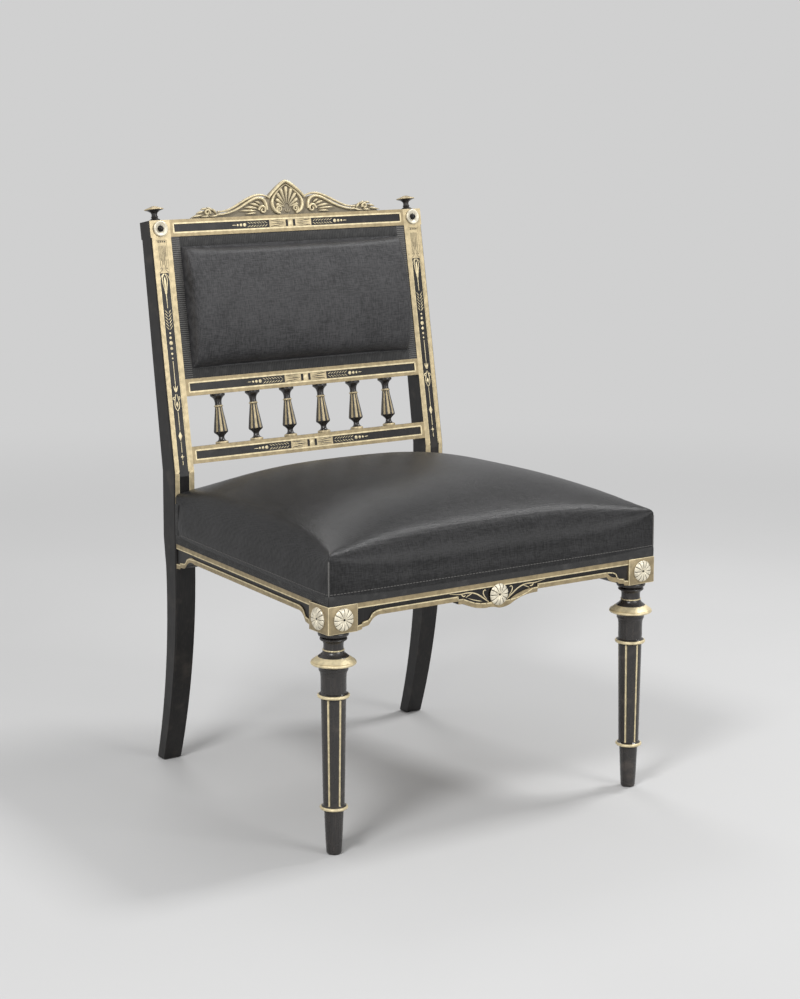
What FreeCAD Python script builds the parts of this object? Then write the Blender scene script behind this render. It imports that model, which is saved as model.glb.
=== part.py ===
import FreeCAD, Part
import math
import os
import re

import Sketcher

# An ebonized and gilded parlour side chair, in millimetres.
# +Z is up, the sitter faces -Y, and the origin is on the floor under the middle of the chair.
# The back assembly stands in a raked frame that starts where the rear posts bend:
# there X runs across, "up" runs along the rake and "in" runs from the post fronts backwards.

SIZES = {
    # whole chair
    "leg_spacing": 506,
    "seat_depth": 434.5,
    "back_width": 480,
    "back_rake": 10,
    "seat_line": 338,
    "frame_top": 388,
    "bend_height": 440,
    "back_length": 368,
    "fit": 0.1,
    "ease": 0.3,
    "overrun": 5,
    # rear posts
    "post_width": 33,
    "post_depth": 34,
    "post_top_depth": 26,
    "cap_swell": 3,
    "calf_depth": 28.5,
    "foot_depth": 20,
    "foot_kick": 50,
    "foot_taper": 5,
    "sabre_top": 300,
    "swell_top": 345,
    "post_chamfer": 2,
    "foot_bevel": 2,
    "stile_border": 8,
    "inlay_sink": 0.8,
    # front legs
    "block": 46,
    "block_low": 300.7,
    "collar": 40.6,
    "neck": 26.4,
    "bell": 39.4,
    "flange": 60.5,
    "flange_level": 258,
    "column": 34,
    "upper_ring": 43,
    "upper_ring_level": 214,
    "taper_top": 33,
    "taper_foot": 28.4,
    "lower_ring": 37.4,
    "lower_ring_level": 63.5,
    "foot_top": 25.2,
    "foot_tip": 18.6,
    "flutes": 6,
    "flute_width": 3,
    "flute_sink": 1.2,
    # seat rails
    "rail_thick": 26,
    "show_wood": 20,
    "cover_setback": 8,
    "rail_reveal": 1.5,
    "moulding": 7,
    "top_band": 7.5,
    "field_sink": 1.5,
    "bracket_run": 40,
    "bracket_drop": 17,
    "rear_bracket_run": 60,
    "pendant_run": 67,
    "pendant_drop": 17.5,
    "tenon_thick": 10,
    "tenon_height": 36,
    "tenon_length": 18,
    "tenon_inset": 15,
    "rear_rail_inset": 2,
    "rear_rail_thick": 24,
    # corner braces
    "brace_thick": 22,
    "brace_reach": 62,
    "brace_height": 32,
    # back rails
    "back_rail": 25,
    "back_rail_depth": 22,
    "lower_rail_level": 11.7,
    "middle_rail_level": 110.4,
    "rail_border": 7,
    "back_tenon_thick": 9,
    "back_tenon_height": 17,
    "back_tenon_length": 11,
    # spindles
    "spindles": 6,
    "spindle_pitch": 59.7,
    "spindle_collar": 22,
    "spindle_neck": 10.4,
    "spindle_ring": 13,
    "spindle_body": 24,
    "spindle_waist": 8.4,
    "spindle_base": 21,
    "spindle_sides": 12,
    "spindle_dowel": 8,
    "spindle_dowel_length": 8,
    # crest
    "crest_width": 340,
    "crest_rise": 52,
    "crest_thick": 18,
    "crest_moulding": 5,
    "crest_relief": 6,
    "shell_lobes": 5,
    "shell_radius": 30,
    "volute": 11,
    "crest_dowel": 8,
    "crest_dowel_length": 22,
    "crest_dowel_spacing": 120,
    # finials
    "finial": 28.5,
    "finial_foot": 16,
    "finial_neck": 8.5,
    "finial_height": 22,
    "finial_dowel": 8,
    "finial_dowel_length": 12,
    # applied turnings
    "rosette": 30,
    "rosette_thick": 5,
    "rosette_petals": 12,
    "roundel": 23,
    "roundel_thick": 3.6,
    # seat upholstery
    "webbing_width": 50,
    "webbing_thick": 1.2,
    "burlap_thick": 0.8,
    "skirt_inset": 1.5,
    "edge_rise": 60,
    "edge_arch": 14,
    "crown": 46,
    "shoulder": 62,
    "gimp_width": 13,
    "gimp_thick": 1.2,
    "end_gimp_width": 10,
    # back upholstery
    "slip_frame_width": 32,
    "slip_frame_thick": 15,
    "slip_frame_setback": 5,
    "flange_thick": 2.8,
    "back_border": 15,
    "pad_rise": 22,
    "pad_corner": 10,
    "outside_cloth": 1,
}

# Places and sizes that follow from the driving sizes.
PLACES = {
    "sine": "sin(back_rake * 1 deg)",
    "cosine": "cos(back_rake * 1 deg)",
    "finial_rim_up": "back_length + finial_height * 0.8",
    "finial_in": "post_top_depth / 2",
    "back_reach": "seat_depth + finial_rim_up * sine + finial_in * cosine + finial / 2 * cosine",
    "leg_x": "leg_spacing / 2",
    "leg_y": "(flange / 2 - back_reach) / 2",
    "post_y": "leg_y + seat_depth",
    "block_half": "block / 2",
    "front_face": "leg_y - block_half",
    "side_face": "leg_x + block_half",
    "block_back": "leg_y + block_half",
    "post_out": "back_width / 2",
    "post_in": "post_out - post_width",
    "side_slope": "(side_face - post_out) / (post_y - front_face)",
    "hidden_side": "side_face - side_slope * block - cover_setback",
    "rail_low": "seat_line - show_wood",
    "rail_front": "front_face + rail_reveal",
    "rail_back": "rail_front + rail_thick",
    "front_rail_half": "leg_x - block_half",
    "bracket_low": "rail_low - bracket_drop",
    "tenon_low": "rail_low + (frame_top - rail_low - tenon_height) / 2",
    "rear_rail_front": "post_y + rear_rail_inset",
    "rear_rail_back": "rear_rail_front + rear_rail_thick",
    "middle_rail_top": "middle_rail_level + back_rail",
    "lower_rail_top": "lower_rail_level + back_rail",
    "top_rail_level": "back_length - back_rail",
    "spindle_height": "middle_rail_level - lower_rail_top",
    "spindle_in": "back_rail_depth / 2",
    "crest_half": "crest_width / 2",
    "burlap_low": "frame_top + 2 * webbing_thick",
    "stuffing_low": "burlap_low + burlap_thick",
    "cushion_front": "front_face + skirt_inset",
    "cushion_back": "rear_rail_back + cover_setback",
    "opening_low": "middle_rail_top",
    "opening_top": "top_rail_level",
    "slip_half": "post_in - ease",
    "slip_low": "opening_low",
    "slip_top": "opening_top - ease",
    "slip_back": "slip_frame_setback + slip_frame_thick",
    "flange_front": "slip_frame_setback - burlap_thick - flange_thick",
}

QUARTER_ROUND_SHARE = math.tan(math.pi / 8)
SLIGHT_SHARE = 0.12
NOTCH_SHARE = 0.86
SOFT_SHARE = 0.25

doc = FreeCAD.newDocument("side_chair")
pieces = []


def bound(formula):
    """The formula with each named size or place pointing at its sheet."""
    def point(match):
        word = match.group(0)
        if word in SIZES:
            return "Sizes." + word
        if word in PLACES:
            return "Places." + word
        return word
    return re.sub(r"[A-Za-z_][A-Za-z_0-9]*", point, str(formula))


def fill_sheet(name, cells):
    """A sheet with one aliased row for each named cell."""
    sheet = doc.addObject("Spreadsheet::Sheet", name)
    for row, (alias, content) in enumerate(cells.items(), start=1):
        sheet.set(f"A{row}", alias.replace("_", " "))
        sheet.set(f"B{row}", content)
        sheet.setAlias(f"B{row}", alias)
    doc.recompute()
    return sheet


sizes = fill_sheet("Sizes", {alias: str(value) for alias, value in SIZES.items()})
places = fill_sheet("Places", {alias: "=" + bound(formula) for alias, formula in PLACES.items()})


def number(formula):
    """The value that a formula has now."""
    return float(sizes.evalExpression(bound(formula)))


def bind(item, **formulas):
    """Tie properties of an object to formulas over the sheets."""
    for name, formula in formulas.items():
        item.setExpression(name, bound(formula))


def keep(item, label):
    """Label a finished piece and list it for export."""
    item.Label = label
    pieces.append(item)
    return item


# Outlines: each corner is reached by a straight line, or by an arc with a bulge.

def to(across, up):
    """A corner reached by a straight line."""
    return (str(across), str(up), 0)


def arc(across, up, bulge):
    """A corner reached by an arc that leaves its chord by bulge, a share of half the chord.

    A positive bulge turns left on the way, a negative one turns right.
    """
    return (str(across), str(up), bulge)


def arc_geometry(start, end, bulge):
    """The circular arc between two points, drawn counter-clockwise."""
    chord = end - start
    half = chord.Length / 2
    radius = half * (1 + bulge ** 2) / (2 * abs(bulge))
    left = FreeCAD.Vector(-chord.y, chord.x, 0).normalize()
    centre = (start + end) / 2 + left * math.copysign(radius - abs(bulge) * half, bulge)
    first, last = (start, end) if bulge > 0 else (end, start)
    angles = [math.atan2(point.y - centre.y, point.x - centre.x) for point in (first, last)]
    circle = Part.Circle(centre, FreeCAD.Vector(0, 0, 1), radius)
    return Part.ArcOfCircle(circle, *angles)


def draw_loop(sketch, corners):
    """A closed outline whose corners and arcs are all bound to formulas."""
    points = [FreeCAD.Vector(number(across), number(up), 0) for across, up, _ in corners]
    tails = []
    base = sketch.GeometryCount
    for index, (across, up, bulge) in enumerate(corners):
        start, end = points[index - 1], points[index]
        if bulge:
            sketch.addGeometry(arc_geometry(start, end, bulge))
        else:
            sketch.addGeometry(Part.LineSegment(start, end))
        tails.append(1 if bulge < 0 else 2)
        for kind, formula in (("DistanceX", across), ("DistanceY", up)):
            place = sketch.addConstraint(
                Sketcher.Constraint(kind, -1, 1, base + index, tails[-1], number(formula)))
            sketch.setExpression(f"Constraints[{place}]", bound(formula))
    for index, (across, up, bulge) in enumerate(corners):
        sketch.addConstraint(Sketcher.Constraint(
            "Coincident", base + index, 3 - tails[index], base + index - 1 + len(corners) * (index == 0),
            tails[index - 1]))
        if bulge:
            before_across, before_up, _ = corners[index - 1]
            radius = (f"sqrt((({across}) - ({before_across}))^2 + (({up}) - ({before_up}))^2)"
                      f" * {(1 + bulge ** 2) / (4 * abs(bulge)):.9f}")
            place = sketch.addConstraint(
                Sketcher.Constraint("Radius", base + index, number(radius)))
            sketch.setExpression(f"Constraints[{place}]", bound(radius))


def draw_circle(sketch, across, up, diameter):
    """A circle bound to formulas."""
    centre = FreeCAD.Vector(number(across), number(up), 0)
    index = sketch.addGeometry(Part.Circle(centre, FreeCAD.Vector(0, 0, 1), number(diameter) / 2))
    rows = (
        (Sketcher.Constraint("DistanceX", -1, 1, index, 3, number(across)), across),
        (Sketcher.Constraint("DistanceY", -1, 1, index, 3, number(up)), up),
        (Sketcher.Constraint("Diameter", index, number(diameter)), diameter),
    )
    for constraint, formula in rows:
        place = sketch.addConstraint(constraint)
        sketch.setExpression(f"Constraints[{place}]", bound(formula))


# The sketch planes, and whether each one's normal runs along its axis or against it.
NORMALS = {"XY": 1, "XZ": -1, "YZ": 1}


def new_sketch(body, plane, offset="0"):
    """An empty sketch on one of the body's own planes, moved along the plane's axis."""
    sketch = body.newObject("Sketcher::SketchObject", body.Name + "Sketch")
    feature = [item for item in body.Origin.OriginFeatures if item.Role == plane + "_Plane"][0]
    sketch.AttachmentSupport = (feature, [""])
    sketch.MapMode = "FlatFace"
    sketch.setExpression("AttachmentOffset.Base.z", bound(f"({offset}) * {NORMALS[plane]}"))
    sketch.addProperty("App::PropertyInteger", "Along").Along = NORMALS[plane]
    return sketch


def outline(body, plane, corners, offset="0"):
    """A sketch that holds one closed outline."""
    sketch = new_sketch(body, plane, offset)
    draw_loop(sketch, corners)
    return sketch


def rectangle(low_across, low_up, high_across, high_up):
    """The corners of a rectangle."""
    return [to(low_across, low_up), to(high_across, low_up),
            to(high_across, high_up), to(low_across, high_up)]


def pad(body, sketch, length, towards=1):
    """Material added from the sketch along its plane's axis, or against it."""
    feature = body.newObject("PartDesign::Pad", body.Name + "Pad")
    feature.Profile = sketch
    feature.Reversed = towards != sketch.Along
    bind(feature, Length=length)
    return feature


def pocket(body, sketch, length, towards=1):
    """Material cut from the sketch along its plane's axis, or against it."""
    feature = body.newObject("PartDesign::Pocket", body.Name + "Pocket")
    feature.Profile = sketch
    feature.Reversed = towards == sketch.Along
    bind(feature, Length=length)
    return feature


def revolve(body, profile):
    """A turning about the body's own Z axis, from rows of diameter and level."""
    sketch = outline(body, "XZ", [to(f"({diameter}) / 2", level) for diameter, level in profile])
    feature = body.newObject("PartDesign::Revolution", body.Name + "Turning")
    feature.Profile = sketch
    feature.ReferenceAxis = (sketch, ["V_Axis"])
    feature.Angle = 360
    return feature


def polar_pattern(body, feature, count, axis_role="Z_Axis"):
    """Copies of a feature round one of the body's own axes."""
    pattern = body.newObject("PartDesign::PolarPattern", body.Name + "Pattern")
    axis = [item for item in body.Origin.OriginFeatures if item.Role == axis_role][0]
    pattern.Originals = [feature]
    pattern.Axis = (axis, [""])
    pattern.Angle = 360
    bind(pattern, Occurrences=count)
    body.Tip = pattern
    return pattern


def new_body(name):
    """An empty body that stands in the chair's own frame."""
    return doc.addObject("PartDesign::Body", name)


def stand(item, across="0", back="0", up="0"):
    """Place an upright body at a point of the chair's frame."""
    bind(item, **{"Placement.Base.x": across, "Placement.Base.y": back, "Placement.Base.z": up})
    return item


def rake(item, across="0", inward="0", up="0"):
    """Place an item at a point of the raked frame of the back, leaning with it."""
    item.Placement.Rotation = FreeCAD.Rotation(FreeCAD.Vector(1, 0, 0), -number("back_rake"))
    bind(item, **{
        "Placement.Base.x": across,
        "Placement.Base.y": f"post_y + ({inward}) * cosine + ({up}) * sine",
        "Placement.Base.z": f"bend_height - ({inward}) * sine + ({up}) * cosine",
        "Placement.Rotation.Angle": "-back_rake",
    })
    return item


def raked_box(low, high):
    """A box between two corners of the raked frame, each (across, inward, up)."""
    box = doc.addObject("Part::Box", "RakedBox")
    spans = [f"({far}) - ({near})" for near, far in zip(low, high)]
    bind(box, Length=spans[0], Width=spans[1], Height=spans[2])
    return rake(box, *low)


def upright_box(low, high):
    """A box between two corners of the chair's frame, each (across, back, up)."""
    box = doc.addObject("Part::Box", "UprightBox")
    spans = [f"({far}) - ({near})" for near, far in zip(low, high)]
    bind(box, Length=spans[0], Width=spans[1], Height=spans[2])
    return stand(box, *low)


def less(base, tool):
    """The base with one tool cut from it."""
    result = doc.addObject("Part::Cut", base.Name + "Cut")
    result.Base = base
    result.Tool = tool
    return result


def cut(base, tools):
    """The base with all the tools cut from it."""
    joined = doc.addObject("Part::MultiFuse", base.Name + "Cutters")
    joined.Shapes = tools
    return less(base, joined)


def chamfer(body, test, size):
    """Chamfer the edges of the body's tip that pass a test on their shape."""
    doc.recompute()
    tip = body.Tip
    names = [f"Edge{index}" for index, edge in enumerate(tip.Shape.Edges, start=1) if test(edge)]
    feature = body.newObject("PartDesign::Chamfer", body.Name + "Chamfer")
    feature.Base = (tip, names)
    bind(feature, Size=size)
    return feature


def group(items, label):
    """Keep like pieces as one node of separate solids."""
    together = doc.addObject("Part::Compound", "Group")
    together.Links = items
    return keep(together, label)


def both_sides(item):
    """A right-hand piece and its left-hand twin, not yet kept."""
    twin = doc.addObject("Part::Mirroring", item.Name + "Twin")
    twin.Source = item
    twin.Normal = FreeCAD.Vector(1, 0, 0)
    return [item, twin]


def pair(item, name):
    """Keep a right-hand piece and its left-hand twin, each as its own node."""
    for piece, side in zip(both_sides(item), ("right", "left")):
        keep(piece, f"{name}_{side}")


def grown(low, high, clearance="fit"):
    """The corners of a box grown by a clearance on every side."""
    return ([f"{place} - {clearance}" for place in low], [f"{place} + {clearance}" for place in high])


def side_line(back, inset):
    """How far out the seat's side lies at a depth, less an inset."""
    return f"side_face - side_slope * (({back}) - front_face) - ({inset})"


# Tenons, each as the two corners of its box. The same corners, grown by the fit, cut its mortise.

FRONT_RAIL_TENON = (
    ("front_rail_half", "front_face + tenon_inset", "tenon_low"),
    ("front_rail_half + tenon_length", "front_face + tenon_inset + tenon_thick",
     "tenon_low + tenon_height"))
SIDE_RAIL_FRONT_TENON = (
    ("side_face - tenon_inset - tenon_thick", "block_back - tenon_length", "tenon_low"),
    ("side_face - tenon_inset", "block_back", "tenon_low + tenon_height"))
SIDE_RAIL_REAR_TENON = (
    ("post_out - tenon_inset - tenon_thick", "post_y", "tenon_low"),
    ("post_out - tenon_inset", "post_y + tenon_length", "tenon_low + tenon_height"))
REAR_RAIL_TENON = (
    ("post_in", "rear_rail_front + (rear_rail_thick - tenon_thick) / 2", "tenon_low"),
    ("post_in + tenon_length * 0.4", "rear_rail_front + (rear_rail_thick + tenon_thick) / 2",
     "tenon_low + tenon_height"))


def back_tenon(level):
    """The tenon of a back rail whose lower edge is at a level of the rake."""
    low = f"({level}) + (back_rail - back_tenon_height) / 2"
    return (("post_in", "(back_rail_depth - back_tenon_thick) / 2", low),
            ("post_in + back_tenon_length", "(back_rail_depth + back_tenon_thick) / 2",
             f"{low} + back_tenon_height"))


BACK_RAIL_LEVELS = ("lower_rail_level", "middle_rail_level", "top_rail_level")


# Rear posts: sabre foot, seat block and raked stile sawn from one piece of wood.

def raked_point(inward, up):
    """A point of the raked frame as a corner of the side view."""
    return to(f"post_y + ({inward}) * cosine + ({up}) * sine",
              f"bend_height - ({inward}) * sine + ({up}) * cosine")


SABRE_SHARE = 0.083


def rear_posts():
    """The two rear posts, with mortises for every rail and a sunk field down the stile."""
    post = new_body("RearPost")
    side_view = [
        arc("post_y + foot_kick", "0", SABRE_SHARE),
        to("post_y + foot_kick + foot_depth", "0"),
        arc("post_y + calf_depth", "sabre_top", -SABRE_SHARE),
        to("post_y + post_depth", "swell_top"),
        to("post_y + post_depth", "bend_height"),
        raked_point("post_top_depth", "back_length"),
        raked_point("0", "back_length"),
        to("post_y", "bend_height"),
        to("post_y", "sabre_top"),
    ]
    pad(post, outline(post, "YZ", side_view, "post_in"), "post_width")
    taper = [
        to("post_out - foot_taper", "0"),
        to("post_out + overrun", "0"),
        to("post_out + overrun", "rail_low"),
        to("post_out", "rail_low"),
    ]
    reach = "post_depth + foot_kick + foot_depth"
    pocket(post, outline(post, "XZ", taper, "post_y - overrun"), f"{reach} + overrun")
    outer, middle = number("post_out - foot_taper - fit"), number("post_y + post_top_depth / 2")

    def front_outer_arris(edge):
        box = edge.BoundBox
        return box.XMin > outer and box.YMin < middle and box.ZLength > number("foot_taper")

    chamfer(post, front_outer_arris, "post_chamfer")
    chamfer(post, lambda edge: edge.BoundBox.ZMax < number("fit"), "foot_bevel")
    cap = [
        raked_point("0", "top_rail_level"),
        raked_point("post_top_depth + cap_swell", "top_rail_level"),
        raked_point("post_top_depth + cap_swell", "back_length"),
        raked_point("0", "back_length"),
    ]
    pad(post, outline(post, "YZ", cap, "post_in"), "post_width")

    cutters = [raked_box(*grown(*back_tenon(level))) for level in BACK_RAIL_LEVELS]
    cutters += [upright_box(*grown(*SIDE_RAIL_REAR_TENON)), upright_box(*grown(*REAR_RAIL_TENON))]
    cutters.append(raked_box(
        ("post_in + stile_border", "-overrun", "-overrun"),
        ("post_out - stile_border", "inlay_sink", "back_length - back_rail - stile_border / 2")))
    socket = doc.addObject("Part::Cylinder", "FinialSocket")
    bind(socket, Radius="finial_dowel / 2 + fit", Height="finial_dowel_length + overrun")
    cutters.append(rake(socket, "(post_in + post_out) / 2", "finial_in",
                        "back_length - finial_dowel_length - fit"))
    pair(cut(post, cutters), "rear_post")


# Front legs: a square block over a turned, tapered and fluted leg.

LEG_TURNING = (
    # diameter, level
    ("0", "0"),
    ("foot_tip", "0"),
    ("foot_top", "lower_ring_level - lower_ring * 0.1"),
    ("lower_ring", "lower_ring_level - lower_ring * 0.1"),
    ("lower_ring", "lower_ring_level + lower_ring * 0.1"),
    ("taper_foot", "lower_ring_level + lower_ring * 0.1"),
    ("taper_top", "upper_ring_level - upper_ring * 0.09"),
    ("upper_ring", "upper_ring_level - upper_ring * 0.09"),
    ("upper_ring", "upper_ring_level + upper_ring * 0.09"),
    ("column", "upper_ring_level + upper_ring * 0.09"),
    ("column", "flange_level - flange * 0.15"),
    ("flange", "flange_level - flange * 0.03"),
    ("flange", "flange_level + flange * 0.04"),
    ("bell", "flange_level + flange * 0.2"),
    ("neck", "flange_level + flange * 0.2"),
    ("neck", "block_low - collar * 0.3"),
    ("collar", "block_low - collar * 0.3"),
    ("collar", "block_low"),
    ("0", "block_low"),
)


def front_legs():
    """The two front legs, each turned under a square block with two mortises."""
    leg = stand(new_body("FrontLeg"), "leg_x", "leg_y")
    revolve(leg, LEG_TURNING)
    flute_low = "lower_ring_level + lower_ring * 0.28"
    flute_top = "upper_ring_level - upper_ring * 0.25"
    flute = [
        to("-taper_foot / 2 + flute_sink", flute_low),
        to("-taper_top / 2 + flute_sink", flute_top),
        to("-taper_top / 2 - overrun", flute_top),
        to("-taper_foot / 2 - overrun", flute_low),
    ]
    slot = pocket(leg, outline(leg, "YZ", flute, "-flute_width / 2"), "flute_width")
    polar_pattern(leg, slot, "flutes")
    show = rectangle("-block_half", "-block_half", "block_half", "block_half")
    pad(leg, outline(leg, "XY", show, "block_low"), "seat_line - block_low")
    hidden = rectangle("-block_half", "-block_half + cover_setback",
                       "hidden_side - leg_x", "block_half")
    pad(leg, outline(leg, "XY", hidden, "seat_line"), "frame_top - seat_line")
    mortises = [upright_box(*grown(*FRONT_RAIL_TENON)), upright_box(*grown(*SIDE_RAIL_FRONT_TENON))]
    pair(cut(leg, mortises), "front_leg")


# Seat rails: show wood with a shaped lower edge, and a hidden part set back under the cover.

BRACKET_SHARES = (
    # share of the bracket's run from the block, share of its drop, bulge
    (0.0, 1.0, 0),
    (0.19, 0.93, 0),
    (0.19, 0.8, 0),
    (0.44, 0.7, 0),
    (0.5, 0.55, 0),
    (1.0, 0.0, -0.3),
)
PENDANT_SHARES = (
    # share of the pendant's run from the middle, share of its drop, bulge
    (1.0, 0.0, 0),
    (1.0, 0.24, 0),
    (0.88, 0.25, 0),
    (0.3, 0.86, SLIGHT_SHARE),
    (0.0, 1.0, -SLIGHT_SHARE),
)


def bracket(start, run, level, sign=1):
    """The lower edge of a bracket, from its foot at start to the straight rail."""
    return [(f"({start}) + ({sign * along}) * ({run})",
             f"({level}) - {drop} * bracket_drop", sign * bulge)
            for along, drop, bulge in BRACKET_SHARES]


def reversed_path(corners):
    """The same path walked the other way."""
    turned = []
    for index in range(len(corners) - 1, -1, -1):
        across, up, _ = corners[index]
        bulge = -corners[index + 1][2] if index + 1 < len(corners) else 0
        turned.append((across, up, bulge))
    return turned


def apron_edge(level, end):
    """The lower edge of the front rail from left to right, with its pendant."""
    left_half = bracket(f"-({end})", "bracket_run", level)
    left_half += [(f"-({along}) * pendant_run", f"({level}) - {drop} * pendant_drop", bulge)
                  for along, drop, bulge in PENDANT_SHARES]
    mirror = [(f"-({across})", up, bulge) for across, up, bulge in reversed_path(left_half)]
    return left_half + [(across, up, bulge) for across, up, bulge in mirror[1:]]


def front_seat_rail():
    """The front rail: pendant, brackets, a sunk painted field and two tenons."""
    rail = new_body("FrontSeatRail")
    face = apron_edge("rail_low", "front_rail_half")
    face += [to("front_rail_half", "seat_line"), to("-front_rail_half", "seat_line")]
    pad(rail, outline(rail, "XZ", face, "rail_front"), "rail_thick")
    hidden = rectangle("-front_rail_half", "front_face + cover_setback", "front_rail_half", "rail_back")
    pad(rail, outline(rail, "XY", hidden, "seat_line - overrun"), "frame_top - seat_line + overrun")
    field = apron_edge("rail_low + moulding", "front_rail_half")
    field += [to("front_rail_half", "seat_line - top_band"),
              to("-front_rail_half", "seat_line - top_band")]
    pocket(rail, outline(rail, "XZ", field, "rail_front"), "field_sink")
    (low_x, low_y, low_z), (high_x, high_y, high_z) = FRONT_RAIL_TENON
    tenons = rectangle(f"-({high_x})", low_y, high_x, high_y)
    pad(rail, outline(rail, "XY", tenons, low_z), "tenon_height")
    keep(rail, "front_seat_rail")


def side_edge(level):
    """The lower edge of a side rail from the front block to the rear post."""
    front = bracket("block_back", "bracket_run", level)
    rear = bracket("post_y", "rear_bracket_run", level, -1)
    return front + reversed_path(rear)


def side_seat_rails():
    """The two side rails, splayed in plan, bracketed at both ends, with a sunk painted field."""
    rail = new_body("SideSeatRail")
    plan = [
        to(side_line("block_back", "rail_reveal"), "block_back"),
        to(side_line("post_y", "rail_reveal"), "post_y"),
        to(side_line("post_y", "rail_reveal + rail_thick"), "post_y"),
        to(side_line("block_back", "rail_reveal + rail_thick"), "block_back"),
    ]
    pad(rail, outline(rail, "XY", plan, "bracket_low"), "frame_top - bracket_low")
    below = side_edge("rail_low")
    below += [to("post_y", "bracket_low - overrun"), to("block_back", "bracket_low - overrun")]
    pocket(rail, outline(rail, "YZ", below, "post_in - overrun"), "side_face - post_in + overrun")
    ledge = [
        to(side_line("block_back", "cover_setback"), "block_back"),
        to(side_line("post_y", "cover_setback"), "post_y"),
        to("side_face + overrun", "post_y"),
        to("side_face + overrun", "block_back"),
    ]
    pocket(rail, outline(rail, "XY", ledge, "seat_line"), "frame_top - seat_line")
    for low, high in (SIDE_RAIL_FRONT_TENON, SIDE_RAIL_REAR_TENON):
        tenon = rectangle(low[0], low[1], high[0], high[1])
        pad(rail, outline(rail, "XY", tenon, low[2]), "tenon_height")
    field = new_body("SideField")
    shape = side_edge("rail_low + moulding")
    shape += [to("post_y", "seat_line - top_band"), to("block_back", "seat_line - top_band")]
    pad(field, outline(field, "YZ", shape, "post_in"), "side_face - post_in")
    skin = new_body("SideSkin")
    band = [
        to(side_line("block_back", "rail_reveal + field_sink"), "block_back"),
        to(side_line("post_y", "rail_reveal + field_sink"), "post_y"),
        to("side_face + overrun", "post_y"),
        to("side_face + overrun", "block_back"),
    ]
    pad(skin, outline(skin, "XY", band, "bracket_low"), "seat_line - bracket_low")
    sunk = doc.addObject("Part::Common", "SideFieldSunk")
    sunk.Base = field
    sunk.Tool = skin
    pair(less(rail, sunk), "side_seat_rail")


def rear_seat_rail():
    """The plain rear rail between the posts."""
    rail = new_body("RearSeatRail")
    plan = rectangle("-post_in", "rear_rail_front", "post_in", "rear_rail_back")
    pad(rail, outline(rail, "XY", plan, "rail_low"), "frame_top - rail_low")
    low, high = REAR_RAIL_TENON
    tenons = rectangle(f"-({high[0]})", low[1], high[0], high[1])
    pad(rail, outline(rail, "XY", tenons, low[2]), "tenon_height")
    keep(rail, "rear_seat_rail")


def corner_braces():
    """Four braces glued across the corners of the seat frame."""
    inner = "rail_reveal + rail_thick"
    low = "tenon_low"
    near, far = "(brace_reach - brace_thick)", "brace_reach"
    front_start = "front_rail_half - brace_thick"
    front = [
        to(front_start, "rail_back"),
        to(side_line(f"block_back + {near}", inner), f"block_back + {near}"),
        to(side_line(f"block_back + {far}", inner), f"block_back + {far}"),
        to(f"{front_start} - brace_thick * 1.4", "rail_back"),
    ]
    brace = new_body("FrontBrace")
    pad(brace, outline(brace, "XY", front, low), "brace_height")
    pair(brace, "front_corner_brace")
    rear = [
        to(side_line(f"post_y - {near}", inner), f"post_y - {near}"),
        to("post_in - brace_thick * 0.8", "rear_rail_front"),
        to("post_in - brace_thick * 2.2", "rear_rail_front"),
        to(side_line(f"post_y - {far}", inner), f"post_y - {far}"),
    ]
    brace = new_body("RearBrace")
    pad(brace, outline(brace, "XY", rear, low), "brace_height")
    pair(brace, "rear_corner_brace")


# Back rails, flush with the stiles, each with a sunk field.

def back_rail(label, level):
    """A rail of the back with its tenons and its sunk field."""
    rail = rake(new_body("BackRail"))
    face = rectangle("-post_in", level, "post_in", f"{level} + back_rail")
    pad(rail, outline(rail, "XZ", face), "back_rail_depth")
    (_, tenon_in, tenon_low), (tenon_end, _, tenon_top) = back_tenon(level)
    tenons = rectangle(f"-({tenon_end})", tenon_low, tenon_end, tenon_top)
    pad(rail, outline(rail, "XZ", tenons, tenon_in), "back_tenon_thick")
    field = rectangle("-post_in + rail_border", f"{level} + rail_border",
                      "post_in - rail_border", f"{level} + back_rail - rail_border")
    pocket(rail, outline(rail, "XZ", field), "inlay_sink")
    return keep(rail, label)


def spindle_x(index):
    """The place across of one spindle."""
    return f"({index} - (spindles - 1) / 2) * spindle_pitch"


def bore(body, level, depth, towards, places, diameter):
    """Round blind holes up or down into a rail of the back."""
    sketch = new_sketch(body, "XY", level)
    for across in places:
        draw_circle(sketch, across, "spindle_in", f"{diameter} + 2 * fit")
    pocket(body, sketch, depth, towards)


def back_rails():
    """The lower, middle and top rails of the back."""
    places = [spindle_x(index) for index in range(int(number("spindles")))]
    dowels = ["-crest_dowel_spacing / 2", "crest_dowel_spacing / 2"]
    lower = back_rail("lower_back_rail", "lower_rail_level")
    bore(lower, "lower_rail_top", "spindle_dowel_length + fit", -1, places, "spindle_dowel")
    middle = back_rail("middle_back_rail", "middle_rail_level")
    bore(middle, "middle_rail_level", "spindle_dowel_length + fit", 1, places, "spindle_dowel")
    top = back_rail("top_back_rail", "top_rail_level")
    bore(top, "back_length", "crest_dowel_length / 2 + fit", -1, dowels, "crest_dowel")


SPINDLE_SHAPE = (
    # width across the flats, share of the height between the rails
    ("spindle_base", 0.0),
    ("spindle_base", 0.06),
    ("spindle_waist", 0.1),
    ("spindle_waist", 0.14),
    ("spindle_body", 0.23),
    ("spindle_neck", 0.73),
    ("spindle_ring", 0.745),
    ("spindle_ring", 0.765),
    ("spindle_neck", 0.78),
    ("spindle_neck", 0.85),
    ("spindle_collar", 0.96),
    ("spindle_collar", 1.0),
)


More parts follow.
